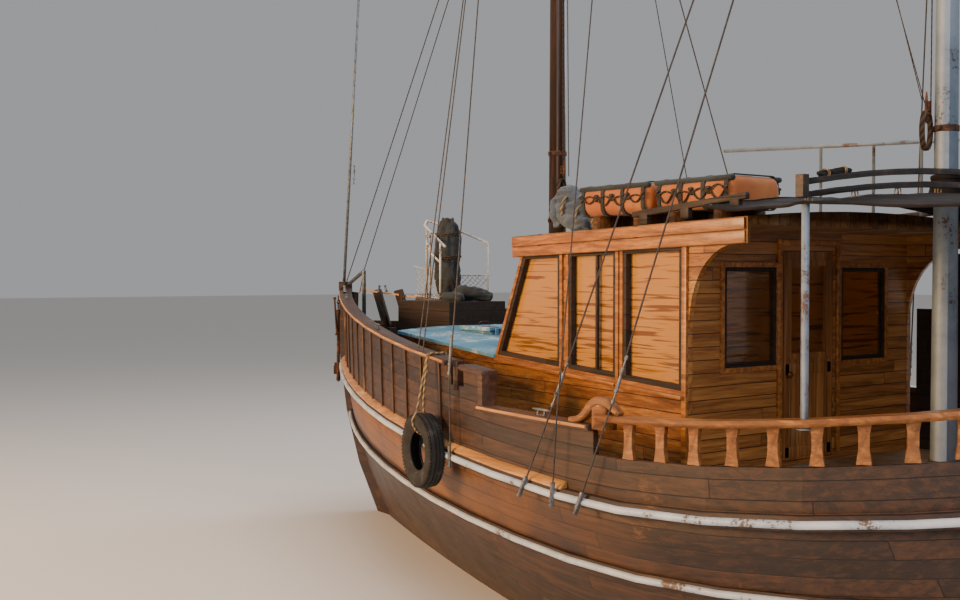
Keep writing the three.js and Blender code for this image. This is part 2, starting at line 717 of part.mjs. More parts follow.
const doorLeaf = box(HOUSE.aft + 4, HOUSE.aft + 44, -DOOR.half, DOOR.half, doorSill + 6, DOOR.top);
const doorWindow = box(HOUSE.aft - 50, HOUSE.aft + 100, -228, 228, 2532, 3268);
add("wheelhouse_door", "honey", join(cut(doorLeaf, doorWindow), doorPins));

// Roof with fascia boards, side curbs and the bearers of the floats
const roofShare = (x) => (x - ROOF.aft) / (ROOF.fore - ROOF.aft);
const roofHalf = (x) => ROOF.aftHalf + roofShare(x) * (ROOF.foreHalf - ROOF.aftHalf);
function roofRing(x) {
  const half = roofHalf(x);
  const top = roofZ(x);
  const steps = 8;
  const arch = Array.from({ length: steps + 1 }, (_, i) => {
    const share = 1 - (2 * i) / steps;
    return [x, half * share, top + ROOF.camber * (1 - share * share)];
  });
  const leg = [
    [x, half - 32, top - ROOF_THICK],
    [x, half - 32, top - FASCIA],
    [x, half, top - FASCIA],
  ];
  return [...leg, ...arch, ...leg.map(([a, b, c]) => [a, -b, c]).reverse()];
}
const FLOAT = { half: 300, y: 850, base: 3715, top: 3990 };
const bearers = [-560, -1080, -1500, -2000].map((x) =>
  box(x - 25, x + 25, FLOAT.y - 280, FLOAT.y + 280, roofZ(x) + 5, FLOAT.base - GAP),
);
const roofFront = box(
  ROOF.fore - 32,
  ROOF.fore,
  -ROOF.foreHalf,
  ROOF.foreHalf,
  ROOF.foreZ - FASCIA,
  ROOF.foreZ - 10,
);
add("wheelhouse_roof", "planks", join(skin([roofRing(ROOF.aft), roofRing(ROOF.fore)]), roofFront, bearers));

// Helm console and wheel
const HELM = { x: 150, z: 2560, rim: 270, tube: 14 };
add("helm_console", "honey", cut(box(HELM.x, 480, -330, 330, 1400, 2640), deckCut));
const rim = new THREE.TorusGeometry(HELM.rim, HELM.tube, 6, 24);
rim.rotateY(Math.PI / 2);
rim.translate(HELM.x - 60, 0, HELM.z);
const spokes = Array.from({ length: 8 }, (_, i) => {
  const turn = (i * Math.PI) / 4;
  const tip = [HELM.x - 60, 350 * Math.sin(turn), HELM.z + 350 * Math.cos(turn)];
  return rod([HELM.x - 60, 0, HELM.z], tip, 12, 10, 5);
});
const hub = rod([HELM.x - GAP, 0, HELM.z], [HELM.x - 95, 0, HELM.z], 42, 42, 12);
add("helm_wheel", "honey", join(solidOf(rim), hub, spokes));

// Masts
const crosstree = box(
  FOREMAST.x - 35,
  FOREMAST.x + 35,
  -FOREMAST.treeHalf,
  FOREMAST.treeHalf,
  FOREMAST.treeZ - 22,
  FOREMAST.treeZ + 22,
);
const mastRod = (mast, low) => rod([mast.x, 0, low], [mast.x, 0, mast.top], mast.foot, mast.head, 16);
const foremast = mastRod(FOREMAST, 1600);
add("foremast", "spar", cut(join(foremast, crosstree), deckCut));
add("mainmast", "rail", cut(mastRod(MAINMAST, 1500), deckCut));

// Furled sail at the foot of the foremast, resting on the roof's front
function bundle() {
  const rings = [
    { x: 1235, half: 120, low: 3660, high: 4180 },
    { x: 1120, half: 190, low: 3640, high: 4160 },
    { x: 900, half: 200, low: 3640, high: 3980 },
    { x: 640, half: 170, low: 3650, high: 3860 },
    { x: 400, half: 90, low: 3650, high: 3760 },
  ];
  return skin(
    rings.map(({ x, half, low, high }) =>
      Array.from({ length: 12 }, (_, i) => {
        const turn = (i * Math.PI) / 6;
        return [x, half * Math.cos(turn), (low + high) / 2 + ((high - low) / 2) * Math.sin(turn)];
      }),
    ),
  );
}
add("sail_bundle", "canvas", bundle());

// Aft canopy on four posts
function canopyHalf(x) {
  if (x > POST.foreX) return 1600 + (400 * (x - CANOPY.fore)) / (POST.foreX - CANOPY.fore);
  return 2000 - (550 * (x - POST.foreX)) / (CANOPY.aft - POST.foreX);
}
const canopyZ = (x) => 3700 - ((CANOPY.fore - x) * 80) / (CANOPY.fore - CANOPY.aft);
// grow thickens the cutting copy above and below.
function canopySolid(grow) {
  const steps = 8;
  const rings = [CANOPY.aft, POST.aftX, POST.foreX, CANOPY.fore].map((x) => {
    const arc = (lift) =>
      Array.from({ length: steps + 1 }, (_, i) => {
        const share = 1 - (2 * i) / steps;
        return [x, canopyHalf(x) * share, canopyZ(x) + lift + CANOPY.camber * (1 - share * share)];
      });
    return [...arc(CANOPY.thick + grow), ...arc(-grow).reverse()];
  });
  return skin(rings);
}
const mainHole = rod([MAINMAST.x, 0, 3300], [MAINMAST.x, 0, 4200], 112, 112, 16);
add("canopy_top", "awning", cut(canopySolid(0), mainHole));

const canopyCut = canopySolid(2 * GAP);
const overPost = box(-6000, -2000, 0, 3000, 3720, 4200);
const railY = (x) => between(SHEER, x, "y");
const railSeat = capRail(-5500, -1900, (x) => aftTop(x) + GAP);
const posts = { fore: [POST.foreX, 1950], aft: [POST.aftX, railY(POST.aftX) - 20] };
for (const [place, [x, y]] of Object.entries(posts)) {
  const long = rod([x, y, aftTop(x) - 20], [x, y, 3720], POST.radius, POST.radius, 12);
  addPair(`canopy_post_${place}`, "pipe", whole(cut(long, railSeat, canopyCut, overPost)));
}

// Two arched beams over the canopy, joined at their ends
function archBeam(low, high, size) {
  const steps = 12;
  const half = 1985;
  const arc = (lift) =>
    Array.from({ length: steps + 1 }, (_, i) => {
      const share = 1 - (2 * i) / steps;
      return [half * share, low + (high - low) * (1 - share * share) + lift];
    });
  const ring = [...arc(size), ...arc(0).reverse()];
  return skin([POST.foreX - 22, POST.foreX + 22].map((x) => ring.map(([y, z]) => [x, y, z])));
}
const archSeat = canopyZ(POST.foreX) + CANOPY.thick + GAP;
const archEnd = (y) => box(POST.foreX - 30, POST.foreX + 30, y - 30, y + 30, archSeat + 5, archSeat + 150);
const arch = join(
  archBeam(archSeat - 4, archSeat + 140, 42),
  archBeam(archSeat + 80, archSeat + 235, 42),
  archEnd(-1985),
  archEnd(1985),
);
add("canopy_arch", "dark", whole(cut(arch, canopyCut)));

// Side screen to starboard with a sight opening by the wheelhouse
const SCREEN_AFT = -3950;
const screen = plate(
  [
    [SCREEN_AFT, 1500],
    [-2060, 1500],
    [-2060, 2880],
    [-2300, 2880],
    [-2300, 3380],
    [SCREEN_AFT, 3380],
  ],
  30,
  -1505,
);
add("side_screen", "dark", cut(screen, deckCut));

// Guard rail along the starboard side of the roof
const GUARD_Y = -1330;
const guardTop = (x) => 4510 + (x - 150) * 0.05;
const guardPosts = [-1100, -1700, -2200].map((x) => {
  const share = GUARD_Y / roofHalf(x);
  const foot = roofZ(x) + ROOF.camber * (1 - share * share) - 10;
  return rod([x, GUARD_Y, foot], [x, GUARD_Y, guardTop(x)], 15);
});
const guardPipe = pipe([[150, GUARD_Y, guardTop(150)], [-2560, GUARD_Y, guardTop(-2560)]], 19);
const raisedRing = (x) => roofRing(x).map(([a, b, c]) => [a, b, c + GAP]);
const roofCut = skin([ROOF.aft - 50, ROOF.fore].map(raisedRing));
add("roof_guard_rail", "pipe", cut(join(guardPipe, guardPosts), roofCut));

// Two box floats with rounded edges
function boxFloat(x0, x1) {
  const round = 90;
  const shape = new THREE.Shape();
  const [a, b, c, d] = [FLOAT.y - FLOAT.half, FLOAT.y + FLOAT.half, FLOAT.base, FLOAT.top];
  shape.moveTo(a + round, c);
  shape.lineTo(b - round, c);
  shape.absarc(b - round, c + round, round, -Math.PI / 2, 0);
  shape.absarc(b - round, d - round, round, 0, Math.PI / 2);
  shape.absarc(a + round, d - round, round, Math.PI / 2, Math.PI);
  shape.absarc(a + round, c + round, round, Math.PI, 1.5 * Math.PI);
  const bevel = { bevelThickness: 40, bevelSize: 40, bevelOffset: -40, bevelSegments: 1 };
  const geometry = new THREE.ExtrudeGeometry(shape, { depth: x1 - x0 - 80, curveSegments: 3, ...bevel });
  geometry.translate(0, 0, x0 + 40);
  geometry.applyMatrix4(new THREE.Matrix4().set(0, 0, 1, 0, 1, 0, 0, 0, 0, 1, 0, 0, 0, 0, 0, 1));
  return solidOf(geometry);
}
add("float_fore", "float", boxFloat(-1260, -350));
add("float_aft", "float", boxFloat(-2190, -1310));

// Tyre fender hung outside the upper rub rail
const TYRE = { x: 600, z: 1570, ring: 262, tube: 88 };
const tyreTurn = Math.atan2(between(SHEER, TYRE.x, "nx"), between(SHEER, TYRE.x, "ny"));
const tyreRing = new THREE.TorusGeometry(TYRE.ring, TYRE.tube, 8, 24);
tyreRing.rotateX(Math.PI / 2);
tyreRing.rotateZ(-tyreTurn);
tyreRing.translate(TYRE.x, between(SHEER, TYRE.x, "y") + 74 + TYRE.tube, TYRE.z);
add("tyre_fender", "rubber", solidOf(tyreRing));

// Propeller, shaft with its boss, and rudder
const bossAft = -3720;
const boss = rod([-3640 - GAP, 0, SHAFT_Z], [bossAft, 0, SHAFT_Z], 58, 46, 16);
const shaft = rod([bossAft + 10, 0, SHAFT_Z], [-3830 + GAP, 0, SHAFT_Z], 24, 24, 12);
add("propeller_shaft", "bronze", join(boss, shaft));
const blades = Array.from({ length: 3 }, (_, i) => {
  const shape = new THREE.Shape();
  shape.moveTo(-28, 30);
  shape.bezierCurveTo(-130, 120, -110, 240, 0, 250);
  shape.bezierCurveTo(110, 240, 130, 120, 28, 30);
  shape.closePath();
  const geometry = new THREE.ExtrudeGeometry(shape, { depth: 14, bevelEnabled: false, curveSegments: 6 });
  geometry.translate(0, 0, -7);
  geometry.rotateY(Math.PI / 2 - 0.55);
  geometry.rotateX((i * 2 * Math.PI) / 3);
  geometry.translate(-3900, 0, SHAFT_Z);
  return solidOf(geometry.rotateZ(0));
});
add("propeller", "bronze", join(rod([-3830, 0, SHAFT_Z], [-3985, 0, SHAFT_Z], 58, 34, 16), blades));

const rudderBlade = plate(
  [
    [-4400, -1100],
    [-5000, -1080],
    [-5040, -650],
    [-4930, -130],
    [-4470, -340],
    [-4400, -360],
  ],
  46,
);
const heelZ = -1170 + (RUDDER_X + 4520) * (20 / 880) + GAP + 0.8;
add("rudder", "dark", join(rudderBlade, rod([RUDDER_X, 0, heelZ], [RUDDER_X, 0, 40], 36, 36, 16)));

// Bow gear
const horn = pipe([[5925, 0, 3058], [5500, 0, 3240], [5500, 0, 1950]], 27, 8);
add("bow_horn", "steel", cut(horn, hullCut, stemCut));
add("bow_staff", "steel", rod([6060, 0, 3090 + 3], [5560, 0, 7600], 22, 14, 10));

const LOCKER = { aft: 3500, fore: 4700, z: 2850 };
const capY = (x) => -between(SHEER, x, "y");
const bowRail = join(
  pipe(
    [
      [4000, capY(4000), 3610],
      [4420, capY(4420), 3790],
      [4860, capY(4860), 3930],
      [4700, -480, 3850],
      [3950, -300, 3550],
    ],
    16,
  ),
  pipe([[4860, capY(4860), 3620], [4480, -420, 3490], [4060, -300, 3350]], 14),
  rod([4860, capY(4860), capZ(4860) - 10], [4860, capY(4860), 3930], 16, 16, 6),
  rod([4420, capY(4420), capZ(4420) - 10], [4420, capY(4420), 3790], 14, 14, 6),
  rod([4000, capY(4000), capZ(4000) - 10], [4000, capY(4000), 3610], 14, 14, 6),
  rod([4480, -420, LOCKER.z - 10], [4480, -420, 3715], 14, 14, 6),
  rod([4060, -300, LOCKER.z - 10], [4060, -300, 3600], 14, 14, 6),
);
const lockerPlan = [
  [LOCKER.aft, -60],
  [LOCKER.aft, -930],
  [LOCKER.fore, -500],
  [LOCKER.fore, -60],
];
const locker = prism(lockerPlan, 1500, LOCKER.z);
add("foredeck_locker", "dark", cut(locker, deckCut));
const capSeat = flipped(capRail(290, 5000, (x) => capZ(x) + GAP));
const lockerCut = prism([[3400, 40], [3400, -960], [4760, -500], [4760, 40]], 1500, LOCKER.z + GAP);
add("bow_rail", "pipe", whole(cut(bowRail, capSeat, lockerCut)));

function bowBundle() {
  const levels = [
    { z: LOCKER.z + GAP, a: 170, b: 120 },
    { z: 3100, a: 215, b: 150 },
    { z: 3450, a: 190, b: 135 },
    { z: 3800, a: 170, b: 130 },
    { z: 3940, a: 70, b: 60 },
  ];
  return skin(
    levels.map(({ z, a, b }) =>
      Array.from({ length: 12 }, (_, i) => {
        const turn = (i * Math.PI) / 6;
        return [4270 + a * Math.cos(turn), -560 + b * Math.sin(turn), z];
      }),
    ),
  );
}
add("bow_bundle", "canvas", bowBundle());

// Stays and shrouds, each from its strap outside the rail to the mast
const WIRE = 7;
function shroud(foot, bend, cap, head, via = []) {
  const out = (x) => between(SHEER, x, "y") + 105 / between(SHEER, x, "ny");
  return pipe([[foot, out(foot) - 12, sheerZ(foot) - 150], [bend, out(bend), cap + 45], ...via, head], WIRE, 6);
}
const mainHead = [MAINMAST.x, 56.3 + WIRE, 10700];
addPair("main_shroud_fore", "steel", shroud(-1000, -1420, WAIST_Z, mainHead));
addPair("main_shroud_aft", "steel", shroud(-1710, -2100, aftTop(-2100), [MAINMAST.x, 57.2 + WIRE, 10560]));
const foreHead = [FOREMAST.x, 61.9 + WIRE, 10050];
const treeTip = [FOREMAST.x, FOREMAST.treeHalf + WIRE + 20, FOREMAST.treeZ];
addPair("fore_shroud", "steel", shroud(150, 150, 2200, foreHead, [treeTip]));
add("forestay", "steel", pipe([[5985, 0, 3095], [FOREMAST.x + 63 + WIRE, 0, 9950]], WIRE, 6));

export default boat;
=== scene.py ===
import math
import random
from functools import partial

import bmesh
import bpy
from mathutils import Matrix, Vector, noise


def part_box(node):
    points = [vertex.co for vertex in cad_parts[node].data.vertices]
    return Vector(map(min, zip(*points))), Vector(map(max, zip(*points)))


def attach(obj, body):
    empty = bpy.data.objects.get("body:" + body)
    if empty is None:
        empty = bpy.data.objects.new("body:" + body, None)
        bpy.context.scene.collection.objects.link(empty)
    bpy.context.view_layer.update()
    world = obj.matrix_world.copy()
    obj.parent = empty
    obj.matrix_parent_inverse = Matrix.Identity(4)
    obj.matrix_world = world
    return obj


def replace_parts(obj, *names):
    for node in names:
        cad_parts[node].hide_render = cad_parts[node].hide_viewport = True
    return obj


bl_info = {
    "name": "Wooden motor sailer",
    "version": (1, 0, 0),
    "blender": (4, 5, 0),
    "location": "View3D > Sidebar > Motor sailer",
    "description": "Dresses the packed model of a wooden motor sailer with its gear and finishes",
    "category": "Object",
}

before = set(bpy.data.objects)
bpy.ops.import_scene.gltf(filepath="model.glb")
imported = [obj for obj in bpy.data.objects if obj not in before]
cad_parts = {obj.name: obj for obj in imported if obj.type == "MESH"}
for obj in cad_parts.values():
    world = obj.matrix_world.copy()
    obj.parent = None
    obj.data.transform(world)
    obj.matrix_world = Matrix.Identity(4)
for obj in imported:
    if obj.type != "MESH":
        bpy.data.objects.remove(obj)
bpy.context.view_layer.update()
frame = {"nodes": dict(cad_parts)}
NODES = frame["nodes"]

# Lines of the hull in metres, as the source gives them in millimetres.
SHEER = {
    "stern": -5.5, "mid": -1.7, "bow": 6.0, "beam": 2.25, "fore": 2.0, "aft": 2.4, "end": 0.75,
    "z": 1.54, "rise_fore": 0.5, "rise_aft": 0.42,
}
TOPSIDE = {
    "stern": -5.3, "mid": -1.5, "bow": 5.8, "beam": 2.02, "fore": 2.0, "aft": 2.2, "end": 0.85,
    "z": 0.916, "rise_fore": 0.36, "rise_aft": 0.25,
}
# Powers of the rise of every line, before and abaft its lowest point.
RISE_FORE, RISE_AFT = 1.3, 1.85
# Top of the rail in the waist.
WAIST_TOP = 2.075
# The wheelhouse's ends, and half its width at each.
HOUSE = {"aft": -2.01, "fore": 0.84, "aft_half": 1.45, "fore_half": 1.18}
# Corners (x, z) of the openings in each of its sides, and (y, z) of those in its back and its door.
WINDOWS = [
    [(-1.95, 2.29), (-1.21, 2.322), (-1.21, 3.4), (-1.95, 3.42)],
    [(-1.1, 2.327), (-0.42, 2.357), (-0.42, 3.39), (-1.1, 3.4)],
    [(-0.27, 2.363), (0.79, 2.41), (0.325, 3.375), (-0.27, 3.388)],
]
BACK_WINDOWS = [[(y, 2.45), (y + 0.62, 2.45), (y + 0.62, 3.25), (y, 3.25)] for y in (-1.05, 0.43)]
DOOR_WINDOW = [(-0.228, 2.532), (0.228, 2.532), (0.228, 3.268), (-0.228, 3.268)]
FOREMAST_X = 1.33
MAINMAST_X = -3.28
# Port end of the foremast's crosstree, where the fore shrouds end.
HOUNDS = Vector((FOREMAST_X, 0.777, 9.0))
SIDES = ((1, "port"), (-1, "starboard"))
UP = Vector((0, 0, 1))


# Points on the hull and the house
def reach(line, x):
    """How far x is along a hull line: 0 at its middle and 1 at the bow or the stern."""
    return (x - line["mid"]) / (line["bow" if x > line["mid"] else "stern"] - line["mid"])


def half_breadth(line, x):
    """Half the breadth of a hull line at x."""
    if x > line["mid"]:
        return line["beam"] * (1 - reach(line, x) ** line["fore"])
    return line["beam"] * max(0.0, 1 - reach(line, x) ** line["aft"]) ** line["end"]


def line_z(line, x):
    """Height of a hull line at x."""
    if x > line["mid"]:
        return line["z"] + line["rise_fore"] * reach(line, x) ** RISE_FORE
    return line["z"] + line["rise_aft"] * reach(line, x) ** RISE_AFT


def cap_z(x):
    """Top of the fore cap rail at x."""
    return 2.31 + 0.7 * max(0.0, (x - SHEER["mid"]) / (SHEER["bow"] - SHEER["mid"])) ** 1.35


def basis(x, y, z, place):
    """Matrix whose axes are x, y and z, at a place."""
    matrix = Matrix((x, y, z)).transposed().to_4x4()
    matrix.translation = place
    return matrix


def side_frame(line, x, out, z, side=1):
    """Matrix at the boat's side: X forwards along the plank, Y outwards and Z up."""
    slope = (half_breadth(line, x + 0.02) - half_breadth(line, x - 0.02)) / 0.04
    outward = Vector((-slope, side, 0)).normalized()
    place = Vector((x, side * half_breadth(line, x), z)) + outward * out
    return basis(Vector((1, side * slope, 0)).normalized(), outward, UP, place)


def side_point(x, out, z, side=1):
    """Point beside the sheer line."""
    return side_frame(SHEER, x, out, z, side).to_translation()


def rail_frames(line, low, high, side, top=None):
    """Frames along a line from low to high, at its height or at top(x): X outwards, Y up, Z along."""
    length = line["bow"] - line["stern"]
    count = 22
    # The source spaces the hull's own frames in the same way.
    stations = [line["stern"] + length * (1 - math.cos(math.pi * i / count)) / 2 for i in range(count + 1)]
    frames = []
    for x in [low, *[x for x in stations if low + 0.02 < x < high - 0.02], high]:
        near = side_frame(line, x, 0, top(x) if top else line_z(line, x), side)
        frames.append(basis(near.col[1].to_3d(), UP, near.col[0].to_3d(), near.to_translation()))
    return frames


def wall_point(side, x, z, out):
    """Point on the outside of a side of the wheelhouse, or off it by out."""
    length, taper = HOUSE["fore"] - HOUSE["aft"], HOUSE["fore_half"] - HOUSE["aft_half"]
    run = Vector((length, taper)).normalized()
    half = HOUSE["aft_half"] + (x - HOUSE["aft"]) / length * taper
    return Vector((x, side * half, z)) + Vector((-run.y, side * run.x, 0)) * out


def back_point(y, z, out):
    """Point on the after side of the wheelhouse's back, or off it by out."""
    return Vector((HOUSE["aft"] - out, y, z))


# Meshes
def at(x, y, z):
    """Matrix that moves to a place."""
    return Matrix.Translation((x, y, z))


def turns(count):
    """Angles of even steps round a full turn."""
    return [2 * math.pi * i / count for i in range(count)]


def ellipse(centre, a, b, count):
    """Points of an ellipse round a centre, from its two half axes."""
    return [Vector(centre) + Vector(a) * math.cos(t) + Vector(b) * math.sin(t) for t in turns(count)]


def circle(radius, count=8):
    """Ring of a round section."""
    return [(radius * math.cos(t), radius * math.sin(t)) for t in turns(count)]


def ring_edges(bm, points):
    """Closed loop of new edges through the points."""
    verts = [bm.verts.new(p) for p in points]
    return [bm.edges.new((v, verts[(i + 1) % len(verts)])) for i, v in enumerate(verts)]


def sweep(bm, ring, frames, scales=None, closed=False):
    """Extrudes a closed ring of (a, b) points through the frames, and caps or joins its ends."""
    scales = scales or [1.0] * len(frames)
    places = [frame_at @ Matrix.Scale(scale, 4) for frame_at, scale in zip(frames, scales)]
    start = ring_edges(bm, [places[0] @ Vector((a, b, 0)) for a, b in ring])
    edges = start
    for last, place in zip(places, places[1:]):
        grown = bmesh.ops.extrude_edge_only(bm, edges=edges)["geom"]
        edges = [g for g in grown if isinstance(g, bmesh.types.BMEdge)]
        verts = [g for g in grown if isinstance(g, bmesh.types.BMVert)]
        bmesh.ops.transform(bm, matrix=place @ last.inverted(), verts=verts)
    if closed:
        bmesh.ops.bridge_loops(bm, edges=start + edges)
    else:
        bmesh.ops.edgeloop_fill(bm, edges=start)
        bmesh.ops.edgeloop_fill(bm, edges=edges)


def tube(bm, points, radius, count=8, scales=None):
    """Round bar along points, its section carried along without twist."""
    points = [Vector(p) for p in points]
    frames = []
    turn = before = None
    for i, point in enumerate(points):
        ahead = (points[min(i + 1, len(points) - 1)] - points[max(i - 1, 0)]).normalized()
        turn = before.rotation_difference(ahead) @ turn if frames else ahead.to_track_quat("Z", "X")
        before = ahead
        frames.append(Matrix.Translation(point) @ turn.to_matrix().to_4x4())
    sweep(bm, circle(radius, count), frames, scales)


def ring_of_tube(bm, points, radius, count=6, ring=None):
    """Closed bar along a closed, nearly flat path, round unless it has a ring of its own."""
    middle = sum(points, Vector()) / len(points)
    frames = []
    for i, point in enumerate(points):
        ahead = (points[(i + 1) % len(points)] - points[i - 1]).normalized()
        out = point - middle
        out = (out - ahead * out.dot(ahead)).normalized()
        frames.append(basis(out, ahead.cross(out), ahead, point))
    sweep(bm, ring or circle(radius, count), frames, closed=True)


def turned(bm, a, b, profile, count=12):
    """Turned piece between two points; profile is a list of (share, radius)."""
    a, b = Vector(a), Vector(b)
    turn = (b - a).to_track_quat("Z", "X").to_matrix().to_4x4()
    frames = [Matrix.Translation(a.lerp(b, share)) @ turn for share, _ in profile]
    sweep(bm, circle(1.0, count), frames, [radius for _, radius in profile])


def wire(bm, points, radius, count=6):
    """Straight round bars from point to point."""
    for a, b in zip(points, points[1:]):
        turned(bm, a, b, [(0, radius), (1, radius)], count)


def round_edges(bm, edges, offset, segments=2, **settings):
    """Rounds edges of the bmesh."""
    bmesh.ops.bevel(
        bm, geom=edges, offset=offset, segments=segments, profile=0.5, affect="EDGES", material=-1, **settings
    )


def block(bm, size, matrix, bevel=0.004, segments=2):
    """Rectangular block with rounded edges."""
    made = bmesh.ops.create_cube(bm, size=1, matrix=matrix @ Matrix.Diagonal((*size, 1)))
    if bevel:
        round_edges(bm, list({e for v in made["verts"] for e in v.link_edges}), bevel, segments)


def beam(bm, a, b, width, height, bevel=0.004):
    """Straight bar from a to b; width is level and height is upright."""
    a, b = Vector(a), Vector(b)
    along = (b - a).normalized()
    across = UP.cross(along)
    across = across.normalized() if across.length > 1e-3 else Vector((0, 1, 0))
    place = basis(along, across, along.cross(across), (a + b) / 2)
    block(bm, ((b - a).length, width, height), place, bevel)


def sagging(a, b, drop, steps=10):
    """Points from a to b that hang down by drop at the middle."""
    a, b = Vector(a), Vector(b)
    shares = [i / steps for i in range(steps + 1)]
    return [a.lerp(b, s) - Vector((0, 0, 4 * drop * s * (1 - s))) for s in shares]


def along_path(points, count):
    """Even points along a path, rounded by Catmull-Rom curves."""
    points = [Vector(p) for p in points]
    found = []
    spans = len(points) - 1
    for i in range(count + 1):
        spot = i / count * spans
        k = min(int(spot), spans - 1)
        t = spot - k
        before, a, b, after = points[max(k - 1, 0)], points[k], points[k + 1], points[min(k + 2, spans)]
        square = (2 * before - 5 * a + 4 * b - after) * t * t
        cube = (3 * a - before - 3 * b + after) * t ** 3
        found.append(0.5 * (2 * a + (b - before) * t + square + cube))
    return found


def between(values, share):
    """Value at a share along a list, straight between its entries."""
    spot = share * (len(values) - 1)
    k = min(int(spot), len(values) - 2)
    return values[k] + (values[k + 1] - values[k]) * (spot - k)


def roll(bm, points, radii, count, steps):
    """Thick roll of cloth along a path with a changing radius, drawn in at both ends."""
    scales = []
    for i in range(steps + 1):
        share = i / steps
        ends = min(1.0, math.sqrt(max(0.0, min(share, 1 - share)) / 0.06) + 0.05)
        scales.append(between(radii, share) * ends)
    tube(bm, along_path(points, steps), 1.0, count, scales)


def ruffle(bm, pinch, depth, seed):
    """Moves points of a smooth roll of cloth in and out along their normals, as folds that run one way."""
    bm.normal_update()
    shift = Vector((seed, seed * 0.7, seed * 0.3))
    moves = []
    for vert in bm.verts:
        spot = vert.co * Vector(pinch) + shift
        fold = abs(noise.noise(spot)) * 2 - 0.5 + 0.4 * noise.noise(spot * 2.3)
        moves.append(vert.normal * fold * depth)
    for vert, move in zip(bm.verts, moves):
        vert.co += move


def lashing(bm, centre, radii, turn, dip=0.0):
    """Two turns of rope side by side round a bundle, about the X or the Z axis."""
    for k in (0, 1):
        points = []
        for t in turns(24):
            a, b = radii[0] * math.cos(t), radii[1] * math.sin(t)
            lift = (k - 0.5) * 0.018 + dip * math.sin(2 * t + k)
            points.append(Vector(centre) + Vector((a, b, lift) if turn == "Z" else (lift, a, b)))
        ring_of_tube(bm, points, 0.008)


def rounded_box(width, height, corner):
    """Outline of a rectangle with round corners."""
    outline = []
    for k, (a, b) in enumerate(((1, 1), (-1, 1), (-1, -1), (1, -1))):
        for t in [math.pi / 2 * (k + i / 5) for i in range(6)]:
            x, y = a * (width / 2 - corner), b * (height / 2 - corner)
            outline.append((x + corner * math.cos(t), y + corner * math.sin(t)))
    return outline


def inset(corners, by):
    """Convex outline moved inwards by a width, or outwards if it is negative."""
    moved = []
    for i, corner in enumerate(corners):
        here = Vector(corner)
        before, after = Vector(corners[i - 1]), Vector(corners[(i + 1) % len(corners)])
        a, b = (here - before).normalized(), (after - here).normalized()
        mitre = (Vector((-a.y, a.x)) + Vector((-b.y, b.x))) / (1 + a.dot(b))
        moved.append(here + mitre * by)
    return moved


def framing(bm, corners, out, inner, place, front, depth):
    """Mitred frame round an opening; place(a, z, out) gives a point on its wall."""
    edges = []
    for by in (-out, inner):
        edges += ring_edges(bm, [place(p.x, p.y, front) for p in inset(corners, by)])
    faces = bmesh.ops.bridge_loops(bm, edges=edges)["faces"]
    grown = bmesh.ops.extrude_face_region(bm, geom=faces)["geom"]
    back = [g for g in grown if isinstance(g, bmesh.types.BMVert)]
    a, b = corners[0]
    bmesh.ops.translate(bm, verts=back, vec=place(a, b, front - depth) - place(a, b, front))


def add_object(name, data):
    """New object in the scene."""
    obj = bpy.data.objects.new(name, data)
    bpy.context.scene.collection.objects.link(obj)
    return obj


def piece(name, bm, finish, body="boat", angle=35, keep_normals=False):
    """Makes an object of the bmesh, gives it a finish and lets it ride on its body."""
    bmesh.ops.remove_doubles(bm, verts=bm.verts, dist=1e-5)
    if not keep_normals:
        bmesh.ops.recalc_face_normals(bm, faces=bm.faces)
    mesh = bpy.data.meshes.new(name)
    bm.to_mesh(mesh)
    bm.free()
    mesh.shade_smooth()
    mesh.set_sharp_from_angle(angle=math.radians(angle))
    mesh.materials.append(FINISHES[finish])
    obj = add_object(name, mesh)
    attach(obj, body)
    return obj


def smooth_copy(node, finish, angle, bevel):
    """A merged, smooth copy of a CAD node that stands for it, with its sharp edges rounded."""
    bm = bmesh.new()
    bm.from_mesh(NODES[node].data)
    bmesh.ops.remove_doubles(bm, verts=bm.verts, dist=2e-5)
    if bevel:
        bmesh.ops.dissolve_limit(bm, angle_limit=math.radians(1), verts=bm.verts, edges=bm.edges)
        sharp = [e for e in bm.edges if len(e.link_faces) == 2 and e.calc_face_angle(0) > math.radians(angle)]
        round_edges(bm, sharp, bevel, clamp_overlap=True)
    obj = piece(f"{node}_finished", bm, finish, BODIES.get(node, "boat"), angle, keep_normals=True)
    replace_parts(obj, node)


# Materials
def linear(code):
    """Linear colour from an sRGB hex code."""
    values = [int(code[i:i + 2], 16) / 255 for i in (1, 3, 5)]
    return (*[v / 12.92 if v <= 0.04045 else ((v + 0.055) / 1.055) ** 2.4 for v in values], 1.0)


def add_node(tree, kind, inputs=(), out=0, **settings):
    """Adds a node, sets its properties, links or sets its inputs, and gives one of its outputs.

    A kind in capitals is the operation of a Math node. The inputs are in order, or named in a dictionary.
    """
    if kind.isupper():
        kind, settings["operation"] = "Math", kind
    node = tree.nodes.new("ShaderNode" + kind)
    for key, value in settings.items():
        setattr(node, key, value)
    for key, value in inputs.items() if isinstance(inputs, dict) else enumerate(inputs):
        if isinstance(value, bpy.types.NodeSocket):
            tree.links.new(value, node.inputs[key])
        else:
            node.inputs[key].default_value = value
    return None if out is None else node.outputs[out]


def new_material(name):
    """An empty material, and add_node for its tree."""
    material = bpy.data.materials.new(name)
    material.use_nodes = True
    material.node_tree.nodes.clear()
    return material, partial(add_node, material.node_tree)


def shade(add, base, layers, relief, sockets):
    """Shader of a material: layers of (share, hex code) over a base colour, relief and other sockets."""
    colour = linear(base)
    for share, code in layers:
        colour = add("Mix", {0: share, 6: colour, 7: linear(code)}, out=2, data_type="RGBA")
    shader = add("BsdfPrincipled", {"Base Color": colour, "Normal": add("Bump", relief), **sockets})
    add("OutputMaterial", {"Surface": shader}, out=None)


